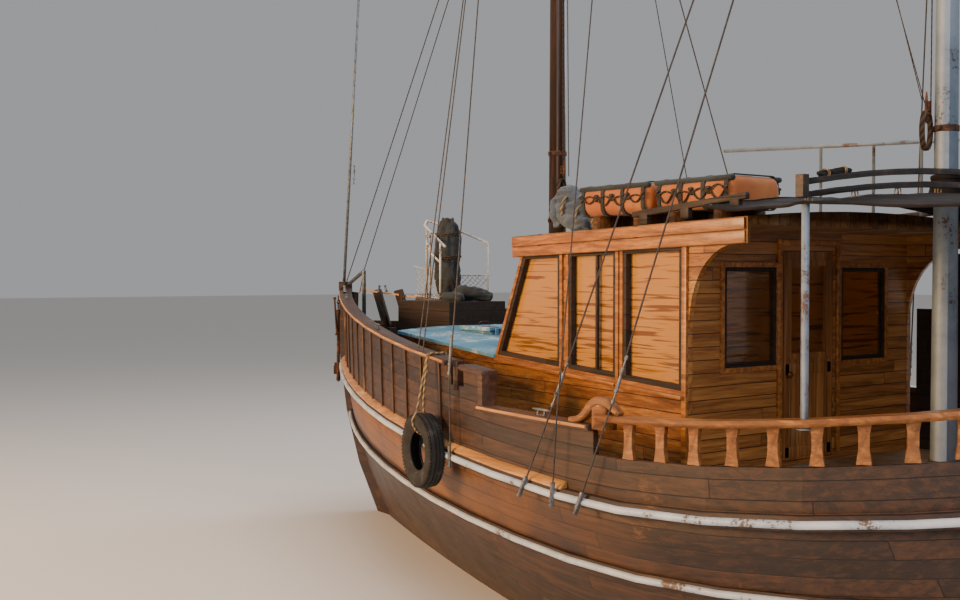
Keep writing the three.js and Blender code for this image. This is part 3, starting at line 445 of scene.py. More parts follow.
def sheer_height(add, x):
    """Rise of the sheer line at x above its lowest point, in nodes."""
    ahead = add("ADD", (x, -SHEER["mid"]))
    rises = []
    for end, power, rise in (("bow", RISE_FORE, "rise_fore"), ("stern", RISE_AFT, "rise_aft")):
        share = add("DIVIDE", (ahead, SHEER[end] - SHEER["mid"]), use_clamp=True)
        share = add("POWER", (share, power))
        rises.append(add("MULTIPLY", (share, SHEER[rise])))
    return add("ADD", rises)


def timber(name, codes, along="X", seams=None, plank=0.14, butt=2.6, wear=0.35, rough=0.5, coat=0.0,
           depth=0.004, below=None, painted_sunlight=None):
    """Planks or boards: grain along one axis, seams between planks, worn and bleached patches.

    codes are dark, middle, light and worn wood. seams is the axis that is counted across the planks, or
    "sheer" to follow the hull's line; plank and butt are a plank's width and length. below is the paint
    under the waterline, and painted_sunlight a band between two heights from the sheer with its colour:
    sunlight painted on the planks.
    """
    dark, middle, light, worn = codes.split()
    material, add = new_material(name)
    coords = add("TexCoord", out="Object")
    axes = add("SeparateXYZ", (coords,)).node.outputs
    shifted = coords
    if seams:
        across = axes["Z" if seams == "sheer" else seams]
        if seams == "sheer":
            across = add("SUBTRACT", (across, sheer_height(add, axes["X"])))
        count = add("DIVIDE", (across, plank))
        index = add("FLOOR", (count,))
        chance = add("TexWhiteNoise", {"W": index}, "Value", noise_dimensions="1D")
        run = add("DIVIDE", (axes[along], butt))
        run = add("ADD", (run, chance))
        length = add("FLOOR", (run,))
        both = add("MULTIPLY_ADD", (index, 7.31, length))
        tint = add("TexWhiteNoise", {"W": both}, noise_dimensions="1D").node.outputs
        shifted = add("VectorMath", (coords, tint["Color"]), operation="ADD")
        edges = []
        for value, low, high, curve in ((count, 0.0045 / plank, 0.001 / plank, "SMOOTHSTEP"),
                                        (run, 0.004 / butt, 0.001 / butt, "LINEAR")):
            share = add("FRACT", (value,))
            share = add("SUBTRACT", (share, 0.5))
            share = add("ABSOLUTE", (share,))
            edges.append(add("MapRange", (share, 0.5 - low, 0.5 - high), interpolation_type=curve))
        seam = add("MAXIMUM", edges)
    stretch = [1.1 if axis == along else 24 for axis in "XYZ"]
    grained = add("Mapping", {"Vector": shifted, "Scale": stretch})
    grain = {"Vector": grained, "Scale": 1.0, "Detail": 6.0, "Roughness": 0.62, "Distortion": 0.5}
    fine = add("TexNoise", {"Vector": grained, "Scale": 5.5, "Detail": 3.0, "Roughness": 0.7})
    figure = add("MULTIPLY_ADD", (fine, 0.35, add("TexNoise", grain)))
    if seams:
        figure = add("MULTIPLY_ADD", (tint["Value"], 0.2, figure))
    patch = add("TexNoise", {"Vector": coords, "Scale": 1.7, "Detail": 9.0, "Roughness": 0.68})
    patch = add("MULTIPLY_ADD", (fine, 0.3, patch))
    bare = 0.28 * wear
    bleached = add("MapRange", (patch, 0.86 - bare, 1.02 - bare, 0.0, 0.85), interpolation_type="SMOOTHSTEP")
    layers = [
        (add("MapRange", (figure, 0.42, 0.74)), middle), (add("MapRange", (figure, 0.7, 1.05)), light),
        (bleached, worn),
    ]
    height = add("MULTIPLY", (fine, 0.12))
    if seams:
        layers.append((seam, "#120D0A"))
        height = add("SUBTRACT", (height, seam))
    if painted_sunlight:
        low, high, code = painted_sunlight
        sunlit_band = add("MapRange", (across, low, low + 0.05))
        # The painted sunlight ends at its upper edge, grows towards the bow, where the light reached, and is
        # broken up by the same noise as the worn patches, as painted dappled shade.
        for limits in ((across, high, high - 0.05), (axes["X"], -2.4, 1.2, 0.0, 0.7), (patch, 0.42, 0.74)):
            sunlit_band = add("MULTIPLY", (sunlit_band, add("MapRange", limits)))
        layers.append((sunlit_band, code))
    if below:
        ragged = add("MULTIPLY_ADD", (fine, 0.05, axes["Z"]))
        layers.append((add("MapRange", (ragged, 0.09, 0.06)), below))
    rounded = add("Bevel", {"Radius": 0.005}, samples=4)
    gloss = add("MapRange", (patch, 0.4, 0.9, rough - 0.12, rough + 0.16))
    shade(add, dark, layers, {"Height": height, "Distance": depth, "Strength": 0.9, "Normal": rounded},
          {"Roughness": gloss, "Coat Weight": coat, "Coat Roughness": 0.25})
    return material


def coated(name, codes, chips=0.3, rough=0.5, metallic=0.0, scale=3.0, streaks=0.0, edge=0.004):
    """Paint over wood or metal: faded areas, run marks, and chips to what is under it (the third code)."""
    base, faded, chipped = codes.split()
    material, add = new_material(name)
    coords = add("TexCoord", out="Object")
    cloud = add("TexNoise", {"Vector": coords, "Scale": scale, "Detail": 8.0, "Roughness": 0.65})
    grit = add("TexNoise", {"Vector": coords, "Scale": scale * 14, "Detail": 5.0, "Roughness": 0.7})
    layers = [(add("MapRange", (cloud, 0.38, 0.66), interpolation_type="SMOOTHSTEP"), faded)]
    if streaks:
        long = add("Mapping", {"Vector": coords, "Scale": (30, 30, 1.2)})
        run = add("TexNoise", {"Vector": long, "Scale": 1.0, "Detail": 4.0})
        layers.append((add("MapRange", (run, 0.55, 0.75, 0.0, streaks)), chipped))
    spots = add("MULTIPLY_ADD", (grit, 0.55, cloud))
    bare = add("MapRange", (spots, 0.98 - 0.22 * chips, 1.0 - 0.22 * chips))
    height = add("MULTIPLY_ADD", (grit, 0.2, 0.5))
    height = add("SUBTRACT", (height, bare))
    rounded = add("Bevel", {"Radius": edge}, samples=4)
    gloss = add("MapRange", (grit, 0.3, 0.7, rough - 0.08, rough + 0.14))
    shade(add, base, [*layers, (bare, chipped)],
          {"Height": height, "Distance": 0.0012, "Strength": 0.7, "Normal": rounded},
          {"Roughness": gloss, "Metallic": metallic})
    return material


def cloth_finish(name, codes, rough=0.9, weave=0.006, sheen=0.25, shine=0.5):
    """Woven cloth: a plain weave drawn coarse enough to show, dirt, and a lighter tone on the raised folds of
    the bump that leaves their hollows darker as painted shade.
    """
    base, faded, dirt = codes.split()
    material, add = new_material(name)
    coords = add("TexCoord", out="Object")
    cloud = add("TexNoise", {"Vector": coords, "Scale": 2.4, "Detail": 7.0, "Roughness": 0.6})
    grime = add("TexNoise", {"Vector": coords, "Scale": 9.0, "Detail": 6.0, "Roughness": 0.7})
    grime = add("MapRange", (grime, 0.55, 0.75, 0.0, 0.6))
    # The lighter tone follows the folds' relief, so the hollows stay darker: painted shade.
    layers = [(add("MapRange", (cloud, 0.35, 0.65)), faded), (grime, dirt)]
    threads = [
        add("TexWave", {"Vector": coords, "Scale": 0.16 / weave}, 1, wave_type="BANDS", bands_direction=axis)
        for axis in "XZ"
    ]
    height = add("MULTIPLY_ADD", (cloud, 6.0, add("MULTIPLY", threads)))
    shade(add, base, layers, {"Height": height, "Distance": 0.0015, "Strength": 0.6},
          {"Roughness": rough, "Sheen Weight": sheen, "Specular IOR Level": shine})
    return material


def rope_finish(name, codes):
    """Laid rope: slanting lays drawn coarse enough to show, the rope darker in the grooves between them as
    painted shade.
    """
    base, dark = codes.split()
    material, add = new_material(name)
    coords = add("TexCoord", out="Object")
    strand_relief_and_groove_shade = add("TexWave", {"Vector": coords, "Scale": 10.0, "Distortion": 0.4}, 1, wave_type="BANDS",
                  bands_direction="DIAGONAL")
    relief = {"Height": strand_relief_and_groove_shade, "Distance": 0.002, "Strength": 0.8}
    shade(add, dark, [(strand_relief_and_groove_shade, base)], relief, {"Roughness": 0.92})
    return material


def pane_finish(name, through):
    """Old drawn window glass with waves across it, and painted reflections: an amber tint for the low sun and
    bright golden streaks for the water.
    """
    material, add = new_material(name)
    coords = add("TexCoord", out="Object")
    long = add("Mapping", {"Vector": coords, "Scale": (1.1, 1.1, 26.0)})
    waves = {"Vector": long, "Scale": 1.5, "Detail": 2.0, "Roughness": 0.4, "Distortion": 0.6}
    ripple = add("TexNoise", waves)
    # The painted reflection's streaks thin out towards the top of the panes.
    lift = add("MapRange", (add("SeparateXYZ", (coords,), "Z"), 2.4, 3.3, 0.0, 0.07))
    reflection_level = add("ADD", (ripple, lift))
    reflection_streaks = add("MapRange", (reflection_level, 0.38, 0.5), interpolation_type="SMOOTHSTEP")
    glaze = {"Roughness": 0.09, "IOR": 1.52, "Coat Weight": 0.6, "Coat Roughness": 0.04}
    shade(add, "#9A6226", [(reflection_streaks, "#E2A552")], {"Height": ripple, "Distance": 0.012, "Strength": 0.5},
          {"Transmission Weight": through, **glaze})
    return material


def make_finishes(colours):
    """Every finish of the boat, each named for its material and for any light or shade painted into it."""
    # What the planks of the house, the painted wood and the enamelled tubes share.
    codes = f"#4A2A0E {colours.house} #C58A45 #D2A566"
    planks = {"codes": codes, "seams": "Z", "plank": 0.105, "butt": 3.4, "rough": 0.48, "coat": 0.3}
    paint = {"chips": 0.35, "scale": 2.6, "streaks": 0.12}
    enamel = {"chips": 0.5, "rough": 0.4, "scale": 6.0, "streaks": 0.25}
    return {
        # Larch planking, nearly black as painted shade, with bleached patches and a band of painted sunlight
        # between the rub rails.
        "hull": timber(
            "larch_planking_painted_shade_and_sun", "#17100C #2E1F15 #54361F #7A5430", seams="sheer", plank=0.135, wear=0.3,
            rough=0.55, coat=0.15, depth=0.006, below="#3A1D18", painted_sunlight=(0.93, 1.44, "#94602C"),
        ),
        # The same planks on the inside and on the timbers that run with the grain.
        "timbers": timber(
            "tarred_larch_timber", "#1A120D #33231A #5A3B24 #7C5836", rough=0.6, below="#3A1D18"
        ),
        # Oiled oak rails: honey brown, bleached and grey where hands and feet wear them.
        "rail": timber(
            "oiled_oak", f"#5B3616 {colours.rail} #C08A48 #B49A74", wear=0.45, coat=0.2, depth=0.002
        ),
        # Cap rails: oak, darkened on top as painted shade.
        "cap": timber("oak_darkened_as_painted_shade", "#24160D #4A2E1A #7A5130 #8C7254", coat=0.2, depth=0.002),
        # Edges of the rails in rubbed bright oak; on the outer edges of the cap and waist rails this
        # brightness is also a painted highlight.
        "edge": timber(
            "bright_oak_and_painted_highlight", "#8A5A2A #C08844 #DDB06C #D8C09A", wear=0.5, rough=0.45, coat=0.25,
            depth=0.001,
        ),
        # Upright battens with their corners rubbed bare.
        "batten": timber(
            "rubbed_larch_battens", "#2A1C13 #4E3524 #7C5B40 #947658", along="Z", wear=0.6, rough=0.6,
            depth=0.001,
        ),
        # Iroko boards without seams: window frames and fascia, golden and stained by old varnish.
        "board": timber(
            "old_varnished_iroko", "#5A3210 #A8682A #D79A50 #3A2412", wear=0.3, rough=0.45, coat=0.3,
            depth=0.002,
        ),
        # Upright oak boards of the door and the console.
        "joinery": timber(
            "oiled_oak_joinery", f"#55310F {colours.rail} #B98040 #A98C63", along="Z", seams="Y",
            plank=0.11, butt=5.0, coat=0.2, depth=0.002,
        ),
        # Oiled pine deck, laid fore and aft with dark caulking, walked grey.
        "deck": timber(
            "oiled_pine_deck", "#5E4226 #8D6A3F #B48D58 #A79A83", seams="Y", plank=0.09, butt=3.1,
            wear=0.75, rough=0.7,
        ),
        # Iroko house sides in level planks: orange brown varnish, rubbed through along the grain.
        "house": timber("varnished_iroko_planks", wear=0.5, **planks),
        # The same planks across the house.
        "bulkhead": timber("varnished_iroko_bulkhead", along="Y", wear=0.4, **planks),
        # Roof boards under old varnish, laid fore and aft.
        "roof": timber(
            "weathered_iroko_roof", "#3B2412 #6E4822 #A06E38 #A58A64", seams="Y", plank=0.12, butt=3.2,
            wear=0.6, rough=0.62,
        ),
        # Spruce spar with dark varnish.
        "spar": timber(
            "dark_varnished_spruce", "#1C120B #3A2617 #5E4026 #7A5C3C", along="Z", wear=0.3, coat=0.2
        ),
        # Near-black boards, their darkness painted shade, for parts that lay out of the light.
        "dark_wood": timber(
            "boards_darkened_as_painted_shade", "#120D0A #241A14 #3D2C20 #574434", seams="Z", plank=0.13, wear=0.25,
            rough=0.65,
        ),
        # Oil paint on the rub rails: pale blue-white, scuffed to the wood.
        "pale": coated("pale_oil_paint", f"{colours.pale} #9FB0BE #6B5645", rough=0.42, **paint),
        # The mainmast's paint has gone blue grey.
        "mast": coated("blue_grey_oil_paint", "#8798A7 #6D8092 #54463C", rough=0.45, **paint),
        # Deck paint on the trunk's top: blue, walked through to a chalky undercoat.
        "blue": coated(
            "blue_deck_paint", f"{colours.trunk} #6FA0B8 #B9C4C4", chips=0.5, rough=0.6, scale=1.8,
            streaks=0.08,
        ),
        # Enamel on steel tube: off-white with rust at chips.
        "white_tube": coated("white_enamelled_tube", "#D8D4CA #BDB6A8 #6E3F22", **enamel),
        # The same off-white enamel, made blue grey as painted shade, on the awning's posts and the roof's
        # rail.
        "grey_tube": coated("enamelled_tube_greyed_as_painted_shade", "#84919C #6B7985 #5E3A24", **enamel),
        # Dark enamel on steel.
        "dark_tube": coated("dark_enamelled_steel", "#221C19 #3B322C #6A4429", chips=0.4, scale=6.0),
        # Galvanised wire and fittings: dull grey zinc with dark weather.
        "steel": coated("galvanised_steel", "#84888A #66696B #4A3A2E", metallic=0.85, scale=20.0, edge=0.001),
        # Galvanised wire rope after years at sea: almost black.
        "wire": coated(
            "weathered_wire_rope", "#3E3B39 #55504C #5A4030", rough=0.6, metallic=0.5, scale=20.0, edge=0.001,
        ),
        # Iron fittings gone brown.
        "iron": coated(
            "rusted_iron", "#3A2A22 #58402F #7A4A2A", chips=0.7, rough=0.75, metallic=0.4, scale=14.0,
            edge=0.002,
        ),
        # Cast bronze below the water.
        "bronze": coated(
            "cast_bronze", "#8A6A34 #6E5A34 #4F6A58", chips=0.5, rough=0.42, metallic=1.0, scale=8.0,
            edge=0.002,
        ),
        # Moulded tyre rubber, grey with salt.
        "rubber": coated("tyre_rubber", "#191817 #2B2A28 #4A4540", rough=0.82, scale=7.0, edge=0.003),
        # Black mouldings of the instruments.
        "dial": coated("black_moulded_plastic", "#121212 #1C1C1C #3A3A3A", chips=0.1, rough=0.35, scale=9.0),
        # Coated fabric of the floats: faded orange.
        "float": cloth_finish(
            "float_cover_fabric", f"{colours.floats} #B8763C #5A3A22", rough=0.7, weave=0.004
        ),
        # Flax canvas of the furled sail: blue grey.
        "sail": cloth_finish("weathered_sailcloth", "#34404C #56626E #262A2E", weave=0.005),
        # Waxed canvas cover at the bow.
        "cover": cloth_finish(
            "waxed_canvas_cover", "#292A2B #3A4446 #1B1A1A", weave=0.005, sheen=0.1, shine=0.3
        ),
        # Tarpaulin of the awning.
        "awning": cloth_finish(
            "dark_tarpaulin", "#1E1B1A #302B28 #121010", rough=0.92, sheen=0.0, shine=0.15
        ),
        # Hemp rope, bleached by the sun.
        "rope": rope_finish("hemp_rope", "#A08A62 #5C4A32"),
        # Tarred hemp rope.
        "dark_rope": rope_finish("tarred_rope", "#4A3C2E #221A14"),
        # White nylon netting.
        "net": rope_finish("white_nylon_line", "#DAD6CC #A9A498"),
        # Wavy window glass of the sides and the front, amber and streaked as painted reflection of the low
        # sun and the water.
        "glass": pane_finish("glass_with_painted_reflections", 0.35),
        # The same glass and painted reflections in the back and the door, where more light comes through.
        "clear": pane_finish("clear_glass_with_painted_reflections", 0.9),
    }


FINISHES = {}


# Sizes and colours that a user would change
class SailerColours(bpy.types.PropertyGroup):
    """Main colours, as sRGB hex codes."""
    rail: bpy.props.StringProperty(name="Rails", description="Oiled oak of the rails", default="#8E5A28")
    house: bpy.props.StringProperty(name="House", description="Varnished planks", default="#8A5524")
    pale: bpy.props.StringProperty(name="Rub rails", description="Pale paint on them", default="#C3CDD6")
    trunk: bpy.props.StringProperty(name="Trunk top", description="Blue paint on it", default="#4F87A6")
    floats: bpy.props.StringProperty(name="Floats", description="Cover of the box floats", default="#A85A22")


class SailerSizes(bpy.types.PropertyGroup):
    """Main sizes of the gear."""
    wire: bpy.props.FloatProperty(
        name="Wire radius", description="Radius of the extra stays", unit="LENGTH", default=0.006, min=0.002,
        max=0.02,
    )
    batten: bpy.props.FloatProperty(
        name="Batten spacing", description="Spacing of the bulwark's battens", unit="LENGTH", default=0.43,
        min=0.2, max=1.0,
    )
    frame: bpy.props.FloatProperty(
        name="Window frame", description="Width of the boards round the windows", unit="LENGTH",
        default=0.045, min=0.01, max=0.1,
    )
    lens: bpy.props.FloatProperty(
        name="Lens", description="Focal length of the camera", default=43.1, min=20, max=100
    )


# Finish of the CAD nodes that show as they are; a star stands for both sides.
KEPT_NODES = {
    "timbers": "keel rudder", "deck": "deck", "house": "trunk_cabin wheelhouse_side_*",
    "bulkhead": "wheelhouse_front wheelhouse_back", "joinery": "wheelhouse_door helm_console",
    "blue": "trunk_hatch", "glass": "glass_* glass_front", "dark_wood": "side_screen foredeck_locker",
    "wire": "forestay fore_shroud_* main_shroud_fore_* main_shroud_aft_*",
}
# Finish, smooth angle and rounding of the edges of the CAD nodes that a smooth copy stands for.
SMOOTH_NODES = {
    "hull": ("hull", 40, 0), "bulwark_*": ("hull", 30, 0), "bulwark_aft": ("hull", 30, 0),
    "cap_rail_fore_*": ("cap", 30, 0.006), "cap_rail_waist_*": ("cap", 30, 0.005),
    "rail_aft_*": ("rail", 30, 0), "rub_rail_upper_*": ("timbers", 30, 0.014),
    "rub_rail_lower_*": ("timbers", 30, 0.01), "foremast": ("spar", 40, 0), "mainmast": ("mast", 40, 0),
    "wheelhouse_roof": ("roof", 30, 0), "trunk_top": ("blue", 30, 0),
    "canopy_post_fore_*": ("grey_tube", 45, 0), "canopy_post_aft_*": ("grey_tube", 45, 0),
    "canopy_arch": ("dark_tube", 30, 0), "roof_guard_rail": ("grey_tube", 50, 0),
    "bow_rail": ("white_tube", 50, 0), "bow_horn": ("steel", 50, 0), "bow_staff": ("steel", 50, 0),
    "helm_wheel": ("rail", 45, 0), "propeller": ("bronze", 35, 0), "propeller_shaft": ("bronze", 40, 0),
}
# Bodies of the smooth copies that don't ride on the boat itself.
BODIES = {"helm_wheel": "helm", "propeller": "screw"}


def both_sides(name):
    """The names that a name with a star stands for."""
    return [name.replace("*", side) for _, side in SIDES] if "*" in name else [name]


# Operators
class SailerStage(bpy.types.Operator):
    """Pale floor at the waterline, soft lights and the camera"""
    bl_idname = "sailer.stage"
    bl_label = "Stage"

    def execute(self, context):
        scene = context.scene
        bm = bmesh.new()
        bmesh.ops.create_grid(bm, x_segments=1, y_segments=1, size=150)
        mesh = bpy.data.meshes.new("floor")
        bm.to_mesh(mesh)
        bm.free()
        add_object("floor", mesh)
        # Matt pale studio floor.
        material, add = new_material("pale_studio_floor")
        shader = add("BsdfPrincipled", {"Base Color": linear("#DDDAD4"), "Roughness": 0.75})
        add("OutputMaterial", {"Surface": shader}, out=None)
        mesh.materials.append(material)
        scene.world = bpy.data.worlds.new("studio")
        scene.world.use_nodes = True
        sky = scene.world.node_tree.nodes["Background"]
        sky.inputs[0].default_value = linear("#DCDDE0")
        sky.inputs[1].default_value = 0.5
        lights = [
            ("key", (5, 19, 6.5), (-0.5, 0, 2.2), 6.0, 5200, "#FFC98C"),
            ("fill", (-15, 6, 10), (-1, 0, 2), 11.0, 1300, "#F6F2FF"),
            ("top", (0, 0, 20), (0, 0, 0), 14.0, 1500, "#FFFFFF"),
            ("rim", (6, -16, 10), (0, 0, 3), 9.0, 1300, "#E8EEFF"),
        ]
        for name, place, target, size, power, code in lights:
            data = bpy.data.lights.new(name, "AREA")
            data.size = size
            data.energy = power
            data.color = linear(code)[:3]
            lamp = add_object(name, data)
            lamp.location = place
            lamp.rotation_euler = (Vector(target) - Vector(place)).to_track_quat("-Z", "Y").to_euler()
        camera = add_object("camera", bpy.data.cameras.new("camera"))
        camera.data.lens = scene.sailer_sizes.lens
        camera.data.sensor_width = 36
        camera.data.clip_end = 400
        heading, pitch = math.radians(35.8), math.radians(1.3)
        level = math.cos(pitch)
        look = Vector((math.cos(heading) * level, -math.sin(heading) * level, -math.sin(pitch)))
        camera.location = (-8.3, 7.98, 3.2)
        camera.rotation_euler = look.to_track_quat("-Z", "Y").to_euler()
        scene.camera = camera
        return {"FINISHED"}


class SailerFinishes(bpy.types.Operator):
    """Finishes on the model's own pieces, with smooth copies of the curved ones"""
    bl_idname = "sailer.finishes"
    bl_label = "Finishes"

    def execute(self, context):
        FINISHES.update(make_finishes(context.scene.sailer_colours))
        for finish, names in KEPT_NODES.items():
            for node in [node for name in names.split() for node in both_sides(name)]:
                obj = NODES[node]
                if not obj.material_slots:
                    obj.data.materials.append(None)
                for one in obj.material_slots:
                    one.material = FINISHES[finish]
        for name, settings in SMOOTH_NODES.items():
            for node in both_sides(name):
                smooth_copy(node, *settings)
        return {"FINISHED"}


# Sections of the rails, as (outwards, upwards) from the hull's line.
UPPER_BAND = [(0.06, -0.092), (0.078, -0.09), (0.09, -0.078), (0.094, -0.064), (0.09, -0.05), (0.078, -0.038),
              (0.06, -0.036)]
LOWER_BAND = [(0.04, -0.026), (0.058, -0.024), (0.068, -0.014), (0.072, 0), (0.068, 0.014), (0.058, 0.024),
              (0.04, 0.026)]
MOULDING = [(-0.004, -0.009), (0.064, -0.009), (0.06, 0.006), (0.014, 0.046), (-0.004, 0.05)]
RAIL_EDGE = [(0.082, -0.008), (0.092, -0.004), (0.099, -0.012), (0.099, -0.024), (0.09, -0.03),
             (0.082, -0.028)]


class SailerRails(bpy.types.Operator):
    """Pale painted bands and mouldings on the rails, bright strips on their edges as painted highlight, and
    battens on the bulwark
    """
    bl_idname = "sailer.rails"
    bl_label = "Rails and battens"

    def execute(self, context):
        for side, name in SIDES:
            bm = bmesh.new()
            sweep(bm, UPPER_BAND, rail_frames(SHEER, -5.46, 5.9, side))
            sweep(bm, LOWER_BAND, rail_frames(TOPSIDE, -5.26, 5.7, side))
            piece(f"rub_rail_bands_{name}", bm, "pale", angle=40)
            bm = bmesh.new()
            sweep(bm, MOULDING, rail_frames(SHEER, -1.5, 5.84, side))
            # Bright oak strips on the outer edges of the cap rails and the waist rails: painted highlight
            # where the low sun caught them.
            sweep(bm, RAIL_EDGE, rail_frames(SHEER, 0.3, 5.86, side, cap_z))
            sweep(bm, RAIL_EDGE, rail_frames(SHEER, -1.82, -0.34, side, lambda x: WAIST_TOP))
            piece(f"rail_mouldings_and_painted_highlights_{name}", bm, "edge", angle=30)
            bm = bmesh.new()
            x = 0.5
            while x < 5.6:
                low, high = line_z(SHEER, x) + 0.03, cap_z(x) - 0.045
                lean = Matrix.Rotation(-math.atan2(0.024, high - low), 4, "X")
                place = side_frame(SHEER, x, 0.019, (low + high) / 2, side) @ lean
                block(bm, (0.018, 0.02, high - low), place, 0.004, 1)
                x += context.scene.sailer_sizes.batten
            piece(f"bulwark_battens_{name}", bm, "batten")
        return {"FINISHED"}


# Profile of the door's knobs, as (share, radius).
KNOB = [(0, 0.024), (0.1, 0.024), (0.14, 0.009), (0.5, 0.009), (0.62, 0.022), (0.8, 0.028), (1, 0.02)]


class SailerHouse(bpy.types.Operator):
    """Window frames, mullion, sill, corner posts, fascia boards and panes of the house"""
    bl_idname = "sailer.house"
    bl_label = "Wheelhouse joinery"

    def execute(self, context):
        width = context.scene.sailer_sizes.frame
        for side, name in SIDES:
            place = partial(wall_point, side)
            bm = bmesh.new()
            for corners in WINDOWS:
                framing(bm, corners, width, -0.006, place, 0.02, 0.022)
            # Sills, rising forwards under the windows.
            for ends in ((-1.995, -1.16), (-1.145, -0.345), (-0.335, 0.8)):
                low, high = [place(x, 2.235 + 0.043 * (x + 1.95), 0.03) for x in ends]
                beam(bm, low, high, 0.07, 0.032)
            # Post at the after corner.
            beam(bm, place(-1.985, 1.68, 0.012), place(-1.985, 3.44, 0.012), 0.03, 0.05)
            piece(f"window_frames_{name}", bm, "board", angle=30)
            bm = bmesh.new()
            for corners in WINDOWS:
                framing(bm, corners, 0.006, 0.034, place, 0.012, 0.05)
            beam(bm, place(-0.81, 2.35, -0.014), place(-0.81, 3.39, -0.014), 0.03, 0.026)
            piece(f"window_beads_{name}", bm, "dark_wood", angle=30)
            bm = bmesh.new()
            # Two boards along the roof's edge, the lower one set back a little.
            for z, thick, out in ((-0.052, 0.086, 0.012), (-0.148, 0.088, 0.005)):
                aft, fore = (-2.672, side * (1.55 + out), 3.62 + z), (0.446, side * (1.28 + out), 3.555 + z)
                beam(bm, aft, fore, 0.016, thick, 0.003)
            piece(f"fascia_boards_{name}", bm, "board", angle=30)
        bm = bmesh.new()
        for corners in BACK_WINDOWS:
            framing(bm, corners, width, -0.004, back_point, 0.018, 0.02)
        for y in (-0.385, 0.385):
            beam(bm, (-2.022, y, 1.66), (-2.022, y, 3.44), 0.045, 0.024)
        beam(bm, (-2.022, -0.405, 3.462), (-2.022, 0.405, 3.462), 0.024, 0.05)
        piece("back_window_frames", bm, "board", angle=30)
        bm = bmesh.new()
        for corners in BACK_WINDOWS:
            framing(bm, corners, 0.004, 0.03, back_point, 0.008, 0.05)
        piece("back_window_beads", bm, "dark_wood", angle=30)
        bm = bmesh.new()
        for y in (-0.74, 0.74):
            block(bm, (0.005, 0.6, 0.78), at(-1.985, y, 2.85), 0)
        piece("back_window_panes", bm, "clear")
        bm = bmesh.new()
        block(bm, (0.005, 0.452, 0.732), at(-1.986, 0, 2.9), 0)
        piece("door_pane", bm, "clear", "door")
        bm = bmesh.new()
        # Frames on both faces of the door, with rails and stiles on the after one.
        for front in (0.008, -0.046):
            framing(bm, DOOR_WINDOW, 0.05, 0.0, back_point, front, 0.01)
        for z in (1.7, 2.4):
            beam(bm, (-2.011, -0.3, z), (-2.011, 0.3, z), 0.008, 0.09, 0.002)
        for y in (-0.285, 0.285):
            beam(bm, (-2.011, y, 1.64), (-2.011, y, 3.38), 0.07, 0.008, 0.002)
        piece("door_stiles", bm, "joinery", "door")
        bm = bmesh.new()
        for face, end in ((-2.006, -2.07), (-1.966, -1.9)):
            turned(bm, (face, 0.285, 2.36), (end, 0.285, 2.36), KNOB, 14)
        piece("door_knobs", bm, "bronze", "door")
        return {"FINISHED"}


# Middle of the floats, across and upwards.
FLOAT_Y, FLOAT_Z = 0.85, 3.85
# Section of the flat straps round the floats.
STRAP = [(-0.004, -0.019), (0.004, -0.019), (0.004, 0.019), (-0.004, 0.019)]


class SailerFloats(bpy.types.Operator):
    """Box floats with their covers, straps, dark strips of painted shade along their tops and grab lines, and
    the rack rail beside them
    """
    bl_idname = "sailer.floats"
    bl_label = "Box floats"

    def execute(self, context):
        dice = random.Random(7)
        for node, low, high in (("float_fore", -1.26, -0.35), ("float_aft", -2.19, -1.31)):
            bm = bmesh.new()
            length = high - low
            middle = Vector(((low + high) / 2, FLOAT_Y, FLOAT_Z))
            block(bm, (length - 0.01, 0.59, 0.262), at(*middle), 0.085, 5)
            long_edges = [e for e in bm.edges if e.calc_length() > 0.15]
            bmesh.ops.subdivide_edges(bm, edges=long_edges, cuts=7, use_grid_fill=True)
            for vert in bm.verts:
                wave = noise.noise(vert.co * 6.0) * 0.008 + noise.noise(vert.co * 17.0) * 0.004
                vert.co += (vert.co - middle).normalized() * wave
            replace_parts(piece(f"{node}_cover", bm, "float", angle=60), node)
            bm = bmesh.new()
            for share in (0.08, 0.36, 0.64, 0.92):
                x = low + share * length
                outline = [Vector((x, FLOAT_Y + a, FLOAT_Z + b)) for a, b in rounded_box(0.602, 0.276, 0.08)]
                ring_of_tube(bm, outline, 0, ring=STRAP)
            # Dark strips along both top edges of each float: painted shade, where the floats' tops lay out of
            # the low sun.
            for y in (0.575, 1.125):
                block(bm, (length - 0.02, 0.06, 0.045), at(middle.x, y, 3.958), 0.02, 3)
            piece(f"{node}_bands", bm, "cover", angle=50)
            bm = bmesh.new()
            knots = [low + 0.06 + i * (length - 0.12) / 4 for i in range(5)]
            for y, out in ((1.157, 1), (0.543, -1)):
                for a, b in zip(knots, knots[1:]):
                    drop = 0.07 + dice.random() * 0.05
                    tube(bm, sagging((a, y, 3.9), (b, y, 3.9), drop, 8), 0.008, 6)
                    y_low = y + out * 0.004
                    rise = 0.03 + dice.random() * 0.04
                    tube(bm, sagging((a, y_low, 3.84), (b, y_low, 3.84), -rise, 8), 0.007, 6)
                for x in knots:
                    block(bm, (0.034, 0.014, 0.06), at(x, y, 3.87), 0.005, 2)
                    ends = [(x + shift, y + out * 0.008, 3.885) for shift in (-0.022, 0.022)]
                    turned(bm, *ends, [(0, 0.006), (0.3, 0.015), (0.7, 0.015), (1, 0.006)], 8)
            piece(f"{node}_grab_lines", bm, "dark_rope", angle=50)
        bm = bmesh.new()
        for side in (1, -1):
            beam(bm, (-1.3, side * 1.36, 3.69), (-2.62, side * 1.47, 3.775), 0.045, 0.05, 0.01)
            for x in (-1.45, -1.95, -2.5):
                share = (x + 1.3) / -1.32
                foot = at(x, side * (1.36 + 0.11 * share), 3.645 + 0.075 * share)
                block(bm, (0.09, 0.05, 0.1), foot, 0.006)
        piece("roof_rack_rails", bm, "dark_wood", angle=30)
        return {"FINISHED"}


